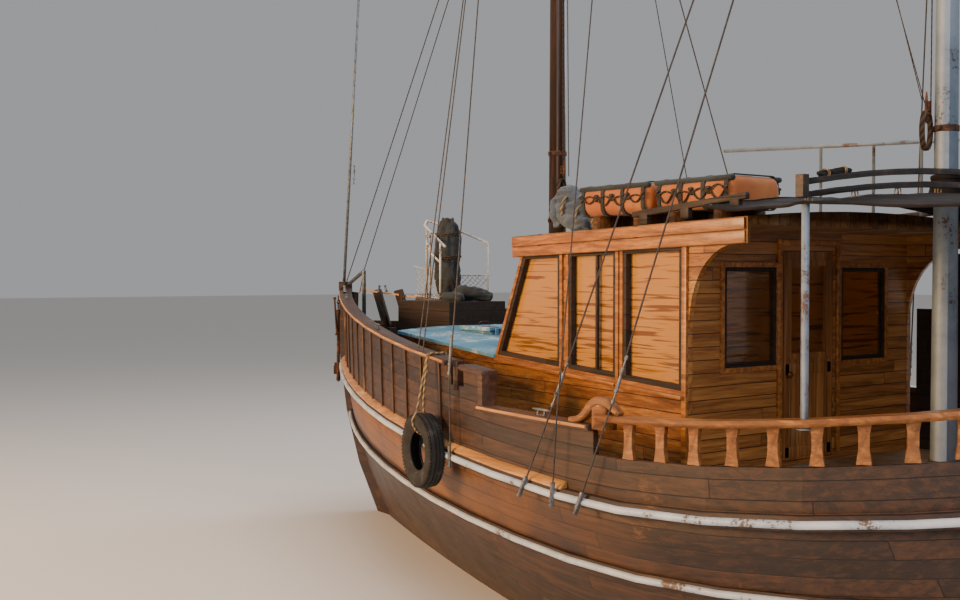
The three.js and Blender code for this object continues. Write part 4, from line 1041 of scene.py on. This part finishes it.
# Rolls of cloth: path, radii, points round and steps along.
SAIL_ROLLS = [
    ([(1.2, 0, 4.12), (1.1, 0, 3.99), (0.95, 0, 3.87), (0.75, 0, 3.78), (0.58, 0, 3.74), (0.44, 0, 3.72)],
     [0.09, 0.14, 0.17, 0.13, 0.1, 0.07], 40, 56),
    ([(1.19, 0.07, 4.02), (1.08, 0.11, 3.84), (0.9, 0.12, 3.74), (0.68, 0.1, 3.71)],
     [0.05, 0.08, 0.085, 0.06], 26, 40),
    ([(1.19, -0.07, 3.98), (1.1, -0.11, 3.8), (0.93, -0.12, 3.73), (0.74, -0.09, 3.7)],
     [0.05, 0.075, 0.08, 0.05], 26, 40),
    ([(1.2, 0.05, 4.08), (1.22, 0.12, 3.95), (1.2, 0.13, 3.8), (1.14, 0.13, 3.7)],
     [0.03, 0.05, 0.055, 0.04], 22, 32),
]
COVER_ROLLS = [
    ([(3.56, -0.78, 2.9), (3.68, -0.62, 2.94), (3.84, -0.5, 2.96), (4.0, -0.62, 2.93), (4.08, -0.82, 2.89)],
     [0.05, 0.085, 0.1, 0.08, 0.05], 30, 44),
    ([(3.6, -0.3, 2.89), (3.74, -0.36, 2.91), (3.9, -0.28, 2.9), (4.02, -0.36, 2.88)],
     [0.04, 0.06, 0.06, 0.04], 26, 36),
]


class SailerBundles(bpy.types.Operator):
    """Furled sail at the foremast and the lashed cover in the bow rail"""
    bl_idname = "sailer.bundles"
    bl_label = "Furled sail and cover"

    def execute(self, context):
        bm = bmesh.new()
        for settings in SAIL_ROLLS:
            roll(bm, *settings)
        ruffle(bm, (4.0, 15.0, 15.0), 0.028, 3.1)
        ruffle(bm, (22.0, 22.0, 30.0), 0.006, 8.4)
        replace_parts(piece("furled_sail", bm, "sail", angle=60), "sail_bundle")
        bm = bmesh.new()
        for x, z, wide, tall in ((0.62, 3.75, 0.13, 0.115), (0.82, 3.79, 0.185, 0.15),
                                 (1.02, 3.87, 0.205, 0.19)):
            lashing(bm, (x, 0, z), (wide, tall), "X")
        piece("sail_lashings", bm, "rope", angle=50)
        bm = bmesh.new()
        for settings in COVER_ROLLS:
            roll(bm, *settings)
        ruffle(bm, (6.0, 9.0, 18.0), 0.02, 7.7)
        piece("folded_covers", bm, "cover", angle=60)
        bm = bmesh.new()
        x, y = 4.27, -0.56
        points = [(x, y, 2.86), (x, y, 3.1), (x + 0.01, y, 3.4), (x, y - 0.01, 3.7), (x, y, 3.93)]
        scales = [between([0.55, 0.8, 0.97, 0.9, 1.0, 0.96, 0.72, 0.4], i / 60) for i in range(61)]
        ring = [(0.205 * math.cos(t), 0.15 * math.sin(t)) for t in turns(56)]
        sweep(bm, ring, [Matrix.Translation(p) for p in along_path(points, 60)], scales)
        ruffle(bm, (13.0, 13.0, 2.6), 0.032, 5.2)
        ruffle(bm, (24.0, 24.0, 14.0), 0.006, 1.9)
        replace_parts(piece("bow_cover", bm, "cover", angle=60), "bow_bundle")
        bm = bmesh.new()
        for z, radii in ((3.08, (0.185, 0.135)), (3.42, (0.215, 0.155)), (3.72, (0.195, 0.14))):
            lashing(bm, (x, y, z), radii, "Z", dip=0.01)
        piece("cover_lashings", bm, "dark_rope", angle=50)
        return {"FINISHED"}


# x and half width of the awning at its fore edge, on the arch and at its after edge.
AWNING = ((-2.32, 1.6), (-3.52, 2.0), (-4.95, 1.45))
# Radius of its hole for the mainmast.
MAST_HOLE = 0.112


def awning_point(u, v):
    """Point of the awning: u from 0 at its fore edge to 1 aft, v from -1 to 1 across."""
    (fore, fore_half), (arch, arch_half), (aft, aft_half) = AWNING
    x = fore + u * (aft - fore)
    share = (arch - fore) / (aft - fore)
    if u < share:
        bay = u / share
        half = fore_half + bay * (arch_half - fore_half)
    else:
        bay = (u - share) / (1 - share)
        half = arch_half + bay * (aft_half - arch_half)
    # It sags between the fore edge, the arch and the after edge, and its sides draw in.
    sag = 4 * bay * (1 - bay)
    y = v * (half - 0.035 * sag)
    z = 3.7 - 0.08 * u + 0.12 * (1 - v * v) - 0.03 * sag * (0.4 + 0.6 * abs(v))
    crease = noise.noise(Vector((x * 1.6, y * 5.0, 2.0))) * 0.012
    crease += noise.noise(Vector((x * 9, y * 9, 5))) * 0.003
    return Vector((x, y, z + crease + abs(v) ** 6 * 0.006 * math.cos(22 * u)))


class SailerAwning(bpy.types.Operator):
    """Tarpaulin over the after deck with its hem, lashings and mast collar, and a small roll on the arch"""
    bl_idname = "sailer.awning"
    bl_label = "Awning"

    def execute(self, context):
        bm = bmesh.new()
        rows, columns = 64, 84
        grid = [[bm.verts.new(awning_point(i / rows, 2 * j / columns - 1)) for j in range(columns + 1)]
                for i in range(rows + 1)]
        edges = [[bm.edges.new((row[j], row[j + 1])) for j in range(columns)] for row in grid]
        for upper, lower in zip(edges, edges[1:]):
            bmesh.ops.bridge_loops(bm, edges=upper + lower)
        mast = Vector((MAINMAST_X, 0))
        near = [v for v in bm.verts if (v.co.xy - mast).length < MAST_HOLE - 0.01]
        bmesh.ops.delete(bm, geom=near, context="VERTS")
        # The points left round the hole are drawn onto its circle.
        for vert in [v for edge in bm.edges if edge.is_boundary for v in edge.verts]:
            away = vert.co.xy - mast
            if away.length < 0.3:
                vert.co.xy = mast + away.normalized() * MAST_HOLE
        area = sum(face.calc_area() for face in bm.faces)
        cloth = piece("awning_cloth", bm, "awning", angle=60)
        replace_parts(cloth, "canopy_top")
        bm = bmesh.new()
        # Round the four edges, 30 steps along each.
        rim = [(i / 30, -1) for i in range(30)] + [(1, i / 15 - 1) for i in range(30)]
        rim += [(1 - i / 30, 1) for i in range(30)] + [(0, 1 - i / 15) for i in range(30)]
        ring_of_tube(bm, [awning_point(u, v) for u, v in rim], 0.011)
        hem = piece("awning_hem", bm, "awning", angle=50)
        bm = bmesh.new()
        # Ties round the arch, and eyelets along both sides.
        tie = ((-0.022, 0.0), (-0.018, 0.03), (0, 0.045), (0.018, 0.03), (0.022, 0.0), (0, -0.02))
        for j in range(9):
            spot = awning_point(0.456, -0.96 + 0.24 * j)
            for shift in (-0.01, 0.01):
                ring_of_tube(bm, [spot + Vector((shift, a, b)) for a, b in tie], 0.004, 5)
        for u in (0.0, 0.2, 0.7, 1.0):
            for v in (-1, 1):
                spot = awning_point(u, v) + Vector((0, -v * 0.05, 0))
                turned(bm, spot, spot + UP * 0.012, [(0, 0.02), (1, 0.018)], 14)
        ties = piece("awning_lashings", bm, "rope", angle=50)
        bm = bmesh.new()
        profile = [(0, 0.16), (0.08, 0.135), (0.4, 0.118), (0.8, 0.106), (0.82, 0.112), (0.95, 0.112),
                   (1, 0.1)]
        turned(bm, (MAINMAST_X, 0, 3.77), (MAINMAST_X, 0, 3.95), profile, 32)
        collar = piece("awning_mast_collar", bm, "awning", angle=50)
        # Small roll of cloth on the arch's upper beam, near its port end, with two lashings.
        x, half, rise, thick = AWNING[1][0], 1.985, 0.155, 0.022
        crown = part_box("canopy_arch")[1][2]
        path = [Vector((x, y, crown - rise * (y / half) ** 2 + 0.6 * thick))
                for y in (1.84, 1.75, 1.66, 1.57, 1.48)]
        bm = bmesh.new()
        roll(bm, path, [0.6 * thick, thick, 0.9 * thick, thick, 0.5 * thick], 24, 36)
        ruffle(bm, (30.0, 8.0, 30.0), 0.008, 2.6)
        piece("arch_roll", bm, "awning", angle=60)
        bm = bmesh.new()
        for spot in (path[1], path[3]):
            for shift in (-0.008, 0.008):
                centre = spot + Vector((0, shift, 0))
                ring_of_tube(bm, ellipse(centre, (1.35 * thick, 0, 0), (0, 0, 1.25 * thick), 20), 0.004, 5)
        piece("arch_roll_lashings", bm, "rope", angle=50)
        return {"FINISHED"}


# Place of the tyre's middle along the side, and half its section as (radius, off its middle plane).
TYRE_X = 0.6
TYRE_SECTION = [
    (0.343, 0), (0.346, 0.012), (0.336, 0.015), (0.336, 0.022), (0.346, 0.025), (0.342, 0.05), (0.331, 0.053),
    (0.33, 0.06), (0.338, 0.063), (0.322, 0.078), (0.3, 0.084), (0.262, 0.088), (0.23, 0.08), (0.205, 0.064),
    (0.192, 0.055), (0.182, 0.056), (0.18, 0.045), (0.192, 0.04), (0.21, 0.05), (0.24, 0.066), (0.29, 0.07),
    (0.32, 0.055), (0.325, 0.0),
]
# The lanyard over the rail, through the tyre and back, in the rail's frame and the tyre's.
LANYARD = [
    ("rail", [(0, -0.085, -0.06), (0, -0.08, 0.012), (0.004, 0, 0.014), (0.006, 0.09, 0.01),
              (0.008, 0.112, -0.06)]),
    ("tyre", [(0.01, 0.05, 0.4), (0.012, 0.1, 0.27), (0.012, 0.04, 0.165), (0, -0.04, 0.165),
              (-0.012, -0.085, 0.26), (-0.012, 0, 0.37)]),
    ("rail", [(-0.01, 0.114, -0.08), (-0.012, 0.093, 0.01), (-0.012, 0, 0.014), (-0.012, -0.08, 0.012),
              (-0.01, -0.085, -0.07)]),
]


class SailerFender(bpy.types.Operator):
    """Old tyre hung over the side on a rope"""
    bl_idname = "sailer.fender"
    bl_label = "Tyre fender"

    def execute(self, context):
        turn = side_frame(SHEER, TYRE_X, 0, 0).to_3x3().to_4x4()
        tyre = at(TYRE_X, half_breadth(SHEER, TYRE_X) + 0.162, 1.57) @ turn
        bm = bmesh.new()
        section = TYRE_SECTION + [(r, -a) for r, a in reversed(TYRE_SECTION[1:-1])]
        sweep(bm, section, [tyre @ Matrix.Rotation(-t, 4, "Y") for t in turns(72)], closed=True)
        # Blocks of the tread on both shoulders.
        for t in turns(60):
            for a, tip in ((0.068, 0.2), (-0.068, -0.2)):
                place = tyre @ Matrix.Rotation(t, 4, "Y") @ at(0.331, a, 0) @ Matrix.Rotation(tip, 4, "X")
                block(bm, (0.014, 0.022, 0.02), place, 0.002, 1)
        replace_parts(piece("tyre_casing", bm, "rubber", angle=40), "tyre_fender")
        bm = bmesh.new()
        rail = side_frame(SHEER, TYRE_X, 0, cap_z(TYRE_X))
        frames = {"rail": rail, "tyre": tyre}
        path = [frames[name] @ Vector(p) for name, points in LANYARD for p in points]
        tube(bm, along_path(path, 90), 0.011, 8)
        knot = rail @ Vector((0.0, 0.118, -0.1))
        for lift in (-0.05, -0.03, -0.01):
            ring_of_tube(bm, ellipse(knot + UP * lift, (0.024, 0, 0), (0, 0.012, 0), 10), 0.009)
        piece("tyre_lanyard", bm, "rope", angle=50)
        return {"FINISHED"}


def plate_foot(x, side):
    """Foot of a shroud's iron strap, on the outer face of the upper rub rail."""
    return side_point(x, 0.093, line_z(SHEER, x) - 0.155, side)


def chain_plate(bm, x, bend, side):
    """Flat iron strap on the rub rail's face in line with its shroud, with two bolts."""
    foot = plate_foot(x, side)
    rise = (bend - foot).normalized()
    beam(bm, foot, foot + rise * 0.2, 0.034, 0.022, 0.003)
    out = side_frame(SHEER, x, 0, 0, side).to_3x3() @ Vector((0, 1, 0))
    for up in (0.02, 0.08):
        spot = foot + rise * up
        turned(bm, spot, spot + out * 0.024, [(0, 0.013), (0.7, 0.013), (1, 0.008)], 8)


def turnbuckle(bm, a, b):
    """Rigging screw between two points: forks, threads and a barrel."""
    half = [(0, 0.008), (0.03, 0.014), (0.09, 0.014), (0.1, 0.008), (0.24, 0.008), (0.25, 0.017),
            (0.3, 0.017), (0.32, 0.013)]
    turned(bm, a, b, half + [(1 - share, radius) for share, radius in reversed(half)], 10)


def cleat(bm, matrix, length):
    """Horn cleat lying along X on a face whose outside is Z."""
    block(bm, (length * 0.45, 0.032, 0.01), matrix @ at(0, 0, 0.005), 0.002, 1)
    for x in (-0.18, 0.18):
        block(bm, (0.018, 0.02, 0.03), matrix @ at(x * length, 0, 0.022), 0.003, 1)
    ends = [matrix @ Vector((x * length, 0, 0.046)) for x in (-0.5, 0.5)]
    turned(bm, *ends, [(0, 0.005), (0.15, 0.009), (0.4, 0.013), (0.6, 0.013), (0.85, 0.009), (1, 0.005)], 10)


def pulley(bm, top):
    """Wooden block of a tackle under a point."""
    down = 0.12
    middle = top - UP * down * 0.6
    block(bm, (0.045, 0.07, down * 0.7), at(*middle), 0.018, 3)
    wire(bm, [middle - Vector((0.03, 0, 0)), middle + Vector((0.03, 0, 0))], 0.012, 10)
    wire(bm, [top, top - UP * down * 0.3], 0.005)


class SailerRigging(bpy.types.Operator):
    """Stays, shrouds, halyards and flag lines beside the main ones, with their screws and straps"""
    bl_idname = "sailer.rigging"
    bl_label = "Rigging"

    def execute(self, context):
        radius = context.scene.sailer_sizes.wire
        triatic = (Vector((FOREMAST_X, 0, 10.1)), Vector((MAINMAST_X, 0, 10.9)))
        bm = bmesh.new()
        wire(bm, [(FOREMAST_X, 0, 9.9), (5.5, 0, 3.25), (5.62, 0, 2.93)], radius)
        wire(bm, triatic, radius)
        for x, side in ((0.9, 1), (1.02, 1), (0.9, -1)):
            foot = side_point(x, 0.02, cap_z(x) - 0.004, side)
            wire(bm, [foot, HOUNDS * Vector((1, side, 1)), (FOREMAST_X, 0, 10.05)], radius)
        # One line down to its own strap on the port side.
        stay = [plate_foot(-1.43, 1), Vector((-1.53, 2.372, 2.125)), triatic[0].lerp(triatic[1], 0.24)]
        wire(bm, stay, radius)
        piece("lesser_stays", bm, "wire", angle=60)
        bm = bmesh.new()
        # Each shroud's foot, the x and height where it bends over the rail, and its head.
        shrouds = [
            (-1.0, -1.42, WAIST_TOP, (MAINMAST_X, 0, 10.7)),
            (-1.71, -2.1, line_z(SHEER, -2.1) + 0.615, (MAINMAST_X, 0, 10.56)),
            (0.15, 0.15, 2.2, HOUNDS),
        ]
        for x, over, top, head in shrouds:
            for side in (1, -1):
                bend = side_point(over, 0.105, top + 0.045, side)
                along = (Vector(head) * Vector((1, side, 1)) - bend).normalized()
                turnbuckle(bm, bend + along * 0.05, bend + along * 0.42)
                chain_plate(bm, x, bend, side)
        chain_plate(bm, stay[0].x, stay[1], 1)
        turnbuckle(bm, (5.784, 0, 4.45), (5.761, 0, 4.72))
        piece("rigging_screws", bm, "steel", angle=50)
        bm = bmesh.new()
        spot = triatic[0].lerp(triatic[1], 0.56)
        for low, high, thick in (
            ((1.2, 0.03, 4.25), (1.24, 0.02, 9.95), 0.005), ((1.2, -0.05, 4.25), (1.24, -0.02, 9.95), 0.005),
            ((-3.16, 0.1, 4.5), spot, 0.004), ((-3.15, 0.12, 4.52), spot + Vector((-0.12, 0, 0.02)), 0.004),
            ((-3.185, 0.06, 4.3), (-3.2, 0.05, 10.4), 0.005),
        ):
            wire(bm, [low, high], thick)
        # Hanks of spare line on the cleats.
        for x, y, z in ((1.19, 0.04, 4.07), (-3.195, 0.105, 4.29)):
            for k in range(4):
                ring_of_tube(bm, ellipse((x + 0.012 * k, y, z), (0, 0.055, 0), (0, 0, 0.15), 16), 0.006)
        piece("halyards", bm, "dark_rope", angle=50)
        bm = bmesh.new()
        # Bands on the masts, as (height, radius of the mast there).
        for x, levels in ((FOREMAST_X, ((3.78, 0.098), (4.5, 0.094), (8.94, 0.072), (9.85, 0.067))),
                          (MAINMAST_X, ((4.3, 0.088), (7.2, 0.077), (10.5, 0.061), (10.78, 0.06)))):
            for z, r in levels:
                profile = [(0, r), (0.1, r + 0.006), (0.9, r + 0.006), (1, r)]
                turned(bm, (x, 0, z - 0.025), (x, 0, z + 0.025), profile, 24)
                for side in (1, -1):
                    block(bm, (0.03, 0.034, 0.03), at(x, side * (r + 0.012), z), 0.004, 1)
        cleat(bm, basis(UP, (1, 0, 0), (0, 1, 0), (-3.19, 0.078, 4.46)), 0.24)
        cleat(bm, basis(UP, (0, 1, 0), (-1, 0, 0), (1.236, 0.02, 4.32)), 0.2)
        piece("mast_fittings", bm, "iron", angle=40)
        bm = bmesh.new()
        for x, y, z in ((1.22, 0.02, 10.0), (FOREMAST_X, 0.6, 8.95), (FOREMAST_X, -0.6, 8.95),
                        (-3.2, 0.05, 10.5)):
            pulley(bm, Vector((x, y, z)))
        piece("tackle_blocks", bm, "rail", angle=40)
        return {"FINISHED"}


def chain(bm, a, b, drop=0.0):
    """Chain of oval links between two points."""
    a, b = Vector(a), Vector(b)
    link = 0.06
    count = max(2, round((b - a).length / (link * 0.78)))
    path = sagging(a, b, drop, count)
    for i, (p, q) in enumerate(zip(path, path[1:])):
        turn = (q - p).to_track_quat("X", "Z").to_matrix().to_4x4()
        # Every other link is turned on edge.
        place = Matrix.Translation((p + q) / 2) @ turn @ Matrix.Rotation(math.pi / 2 * (i % 2), 4, "X")
        oval = ellipse((0, 0, 0), (link / 2, 0, 0), (0, link * 0.32, 0), 10)
        ring_of_tube(bm, [place @ point for point in oval], 0.007, 5)


# Ends of the netting along the bow rail, and its height.
NET_AFT, NET_FORE, NET_TALL = 3.98, 5.05, 0.4


def net_point(x, up):
    """Point of the netting, which bellies outwards and hangs slack between its ends."""
    belly = 0.05 * math.sin(math.pi * min(1, max(0, up / NET_TALL)))
    slack = 0.05 * math.sin(math.pi * (x - NET_AFT) / (NET_FORE - NET_AFT)) * up / NET_TALL
    return side_point(x, 0.012 + belly, cap_z(x) + 0.012, -1) + UP * (up - slack)


class SailerBowGear(bpy.types.Operator):
    """Anchor with its chain, netting, bitts, fairleads and cleats"""
    bl_idname = "sailer.bow_gear"
    bl_label = "Bow gear"

    def execute(self, context):
        bm = bmesh.new()
        # Fisherman's anchor stowed against the port bow, its arms along the planking.
        beside = side_frame(SHEER, 5.78, 0.11, 0)
        flat = beside.to_3x3()
        foot, head = [beside.to_translation() + UP * z for z in (1.72, 2.7)]
        shank = [(0, 0.03), (0.08, 0.026), (0.5, 0.02), (0.93, 0.022), (0.95, 0.03), (1, 0.03)]
        turned(bm, foot, head, shank, 12)
        shares = [i / 20 for i in range(21)]
        arm = [foot + flat @ Vector((0.3 * math.sin(t), 0, 0.3 - 0.3 * math.cos(t)))
               for t in [2.3 * share - 1.15 for share in shares]]
        scales = [0.45 + 0.55 * math.sin(math.pi * (0.14 + 0.72 * share)) for share in shares]
        tube(bm, arm, 0.022, 10, scales)
        for sign in (-1, 1):
            tip = foot + flat @ Vector((sign * 0.262, 0, 0.165))
            fluke = Matrix.Translation(tip) @ flat.to_4x4() @ Matrix.Rotation(sign * 0.45, 4, "Y")
            block(bm, (0.012, 0.12, 0.13), fluke, 0.004, 1)
        stock = head - UP * 0.09
        ends = [stock - flat @ Vector((0.06, -0.02, 0.26)), stock + flat @ Vector((0.06, 0.05, 0.26))]
        stick = [(0, 0.022), (0.04, 0.022), (0.05, 0.012), (0.95, 0.012), (0.96, 0.022), (1, 0.022)]
        turned(bm, *ends, stick, 10)
        ring = ellipse(head + UP * 0.05, flat @ Vector((0.05, 0, 0)), flat @ Vector((0, 0, 0.05)), 14)
        ring_of_tube(bm, ring, 0.009)
        roller = side_point(5.72, 0.07, cap_z(5.72) + 0.02)
        chain(bm, head + UP * 0.09, roller)
        chain(bm, roller, (5.3, 0.12, 2.14), 0.05)
        piece("anchor", bm, "iron", angle=40)
        bm = bmesh.new()
        for y in (0.17, -0.17):
            block(bm, (0.1, 0.1, 0.55), at(5.05, y, 2.2), 0.012)
        beam(bm, (5.05, -0.32, 2.34), (5.05, 0.32, 2.34), 0.075, 0.075, 0.012)
        piece("mooring_bitts", bm, "timbers", angle=30)
        bm = bmesh.new()
        for k in range(5):
            half = (0.062 + 0.004 * (k % 2), 0, 0)
            ring_of_tube(bm, ellipse((5.05, 0.17, 2.2 + 0.02 * k), half, (0, 0.062, 0), 16), 0.011)
        piece("bitt_line", bm, "rope", angle=50)
        bm = bmesh.new()
        for side in (1, -1):
            for x, top in ((2.4, cap_z(2.4)), (4.9, cap_z(4.9)), (-1.2, WAIST_TOP)):
                cleat(bm, side_frame(SHEER, x, 0.015, top, side), 0.24)
            # Fairlead of two horns.
            place = side_frame(SHEER, 5.5, 0.02, cap_z(5.5), side)
            for shift in (-0.07, 0.07):
                ends = [place @ Vector((shift, 0, 0)), place @ Vector((shift * 0.6, 0, 0.09))]
                turned(bm, *ends, [(0, 0.024), (0.3, 0.016), (0.8, 0.014), (1, 0.02)], 12)
        piece("deck_cleats", bm, "steel", angle=40)
        bm = bmesh.new()
        # Netting tied along the starboard bow rail: two sets of slanting lines, a head rope and a foot rope.
        spacing = 0.072
        for k in range(int((NET_FORE - NET_AFT + NET_TALL) / spacing) + 1):
            for slant in (1, -1):
                start = NET_AFT - (NET_TALL if slant == 1 else 0) + k * spacing
                points = []
                for up in [NET_TALL * i / 10 for i in range(11)]:
                    x = start + (up if slant == 1 else NET_TALL - up)
                    if NET_AFT <= x <= NET_FORE:
                        points.append(net_point(x, up))
                if len(points) > 2:
                    tube(bm, points, 0.004, 4)
        for up, thick in ((NET_TALL, 0.006), (0, 0.005)):
            tube(bm, [net_point(NET_AFT + (NET_FORE - NET_AFT) * i / 14, up) for i in range(15)], thick, 6)
        piece("bow_netting", bm, "net", angle=60)
        return {"FINISHED"}


# Curve (x, z) of the swan-neck knees that end the aft rails, and half their section.
KNEE_PATH = [(-1.58, 2.085), (-1.68, 2.1), (-1.76, 2.15), (-1.83, 2.22), (-1.9, 2.255), (-1.98, 2.25),
             (-2.06, 2.215), (-2.12, 2.17)]
KNEE_SECTION = [(0.0285, -0.03), (0.0425, -0.016), (0.0425, 0.016), (0.0285, 0.03)]


class SailerDeck(bpy.types.Operator):
    """Swan-neck knees, mast collars, hatch straps and handle, and flanges of the posts"""
    bl_idname = "sailer.deck"
    bl_label = "Deck fittings"

    def execute(self, context):
        bm = bmesh.new()
        for side in (1, -1):
            path = along_path([side_point(x, 0.02, z, side) for x, z in KNEE_PATH], 24)
            frames = []
            for i, point in enumerate(path):
                ahead = (path[min(i + 1, 24)] - path[max(i - 1, 0)]).normalized()
                out = Vector((0, side, 0))
                out = (out - ahead * out.dot(ahead)).normalized()
                frames.append(basis(out, ahead.cross(out), ahead, point))
            ring = KNEE_SECTION + [(-a, -b) for a, b in KNEE_SECTION]
            sweep(bm, ring, frames, [0.75 + 0.35 * math.sin(math.pi * i / 24) for i in range(25)])
        piece("swan_neck_knees", bm, "rail", angle=40)
        bm = bmesh.new()
        for x, low, high, profile in (
            (FOREMAST_X, 2.47, 2.6,
             [(0, 0.17), (0.15, 0.17), (0.3, 0.14), (0.7, 0.125), (0.8, 0.13), (1, 0.112)]),
            (MAINMAST_X, 1.58, 1.78, [(0, 0.17), (0.2, 0.17), (0.35, 0.135), (0.8, 0.12), (1, 0.106)]),
        ):
            turned(bm, (x, 0, low), (x, 0, high), profile, 28)
        piece("mast_collars", bm, "timbers", angle=40)
        bm = bmesh.new()
        for y in (-0.2, 0.2):
            block(bm, (0.3, 0.035, 0.006), at(2.3, y, 2.595), 0.002, 1)
            for x in (2.2, 2.3, 2.4):
                turned(bm, (x, y, 2.597), (x, y, 2.603), [(0, 0.008), (0.6, 0.008), (1, 0.004)], 8)
        handle = [(-0.07, 2.59), (-0.07, 2.62), (-0.05, 2.637), (0.05, 2.637), (0.07, 2.62), (0.07, 2.59)]
        tube(bm, [(2.68, y, z) for y, z in handle], 0.007, 8)
        piece("hatch_straps", bm, "iron", "hatch", angle=40)
        bm = bmesh.new()
        for y in (-0.302, 0.302):
            block(bm, (0.6, 0.012, 0.045), at(2.45, y, 2.574), 0.003, 1)
        block(bm, (0.012, 0.61, 0.045), at(2.756, 0, 2.574), 0.003, 1)
        piece("hatch_edging", bm, "blue", "hatch", angle=30)
        bm = bmesh.new()
        for y in (1.95, -1.95):
            turned(bm, (-3.52, y, 2.195), (-3.52, y, 2.215), [(0, 0.055), (0.4, 0.052), (1, 0.034)], 16)
        for x in (-1.1, -1.7, -2.2):
            turned(bm, (x, -1.33, 3.655), (x, -1.33, 3.675), [(0, 0.045), (0.5, 0.04), (1, 0.024)], 14)
        piece("post_flanges", bm, "grey_tube", angle=40)
        return {"FINISHED"}


# Dials on the console, as (place across, radius).
DIALS = ((-0.22, 0.045), (-0.11, 0.035), (0.13, 0.045), (0.23, 0.035))


class SailerHelm(bpy.types.Operator):
    """Plain dials, lever, compass and panel edge on the console, and the wheel's hub"""
    bl_idname = "sailer.helm"
    bl_label = "Helm"

    def execute(self, context):
        bm = bmesh.new()
        for y, r in DIALS:
            turned(bm, (0.245, y, 2.638), (0.245, y, 2.65), [(0, r), (0.6, r), (1, r * 0.9)], 24)
        compass = [(0, 0.07), (0.12, 0.07), (0.2, 0.055), (0.5, 0.06), (0.75, 0.052), (0.92, 0.03),
                   (1, 0.005)]
        turned(bm, (0.42, -0.2, 2.638), (0.42, -0.2, 2.72), compass, 24)
        block(bm, (0.13, 0.05, 0.05), at(0.42, 0.24, 2.662), 0.01)
        piece("console_instruments", bm, "dial", angle=40)
        bm = bmesh.new()
        for y, r in DIALS:
            ring_of_tube(bm, ellipse((0.245, y, 2.648), (r, 0, 0), (0, r, 0), 24), 0.004)
        for x in (0.39, 0.45):
            lever = [(0, 0.006), (0.8, 0.006), (0.82, 0.014), (1, 0.012)]
            turned(bm, (x, 0.24, 2.68), (x - 0.02, 0.24, 2.78), lever, 10)
        piece("console_bezels", bm, "bronze", angle=50)
        bm = bmesh.new()
        turned(bm, (0.1, 0, 2.56), (0.045, 0, 2.56),
               [(0, 0.05), (0.3, 0.052), (0.55, 0.046), (0.8, 0.03), (1, 0.008)], 20)
        piece("wheel_hub_cap", bm, "bronze", "helm", angle=40)
        bm = bmesh.new()
        for a, b in (((0.145, -0.332), (0.485, -0.332)), ((0.145, 0.332), (0.485, 0.332)),
                     ((0.145, -0.34), (0.145, 0.34))):
            beam(bm, (*a, 2.645), (*b, 2.645), 0.018, 0.026, 0.004)
        piece("console_edging", bm, "edge", angle=30)
        return {"FINISHED"}


# Operators in the order in which main calls them.
PIECES = [
    SailerFinishes, SailerRails, SailerHouse, SailerFloats, SailerBundles, SailerAwning, SailerFender,
    SailerRigging, SailerBowGear, SailerDeck, SailerHelm, SailerStage,
]


class SailerPanel(bpy.types.Panel):
    """Sizes, colours and pieces of the motor sailer"""
    bl_idname = "VIEW3D_PT_sailer"
    bl_label = "Motor sailer"
    bl_space_type = "VIEW_3D"
    bl_region_type = "UI"
    bl_category = "Motor sailer"

    def draw(self, context):
        for group in (context.scene.sailer_colours, context.scene.sailer_sizes):
            for name in group.__annotations__:
                self.layout.prop(group, name)
        for operator in PIECES:
            self.layout.operator(operator.bl_idname)


CLASSES = [SailerColours, SailerSizes, *PIECES, SailerPanel]


def register():
    for cls in CLASSES:
        bpy.utils.register_class(cls)
    bpy.types.Scene.sailer_colours = bpy.props.PointerProperty(type=SailerColours)
    bpy.types.Scene.sailer_sizes = bpy.props.PointerProperty(type=SailerSizes)


def unregister():
    del bpy.types.Scene.sailer_sizes
    del bpy.types.Scene.sailer_colours
    for cls in reversed(CLASSES):
        bpy.utils.unregister_class(cls)


def main():
    register()
    for operator in PIECES:
        getattr(bpy.ops.sailer, operator.bl_idname.split(".")[1])()


if __name__ == "__main__":
    main()
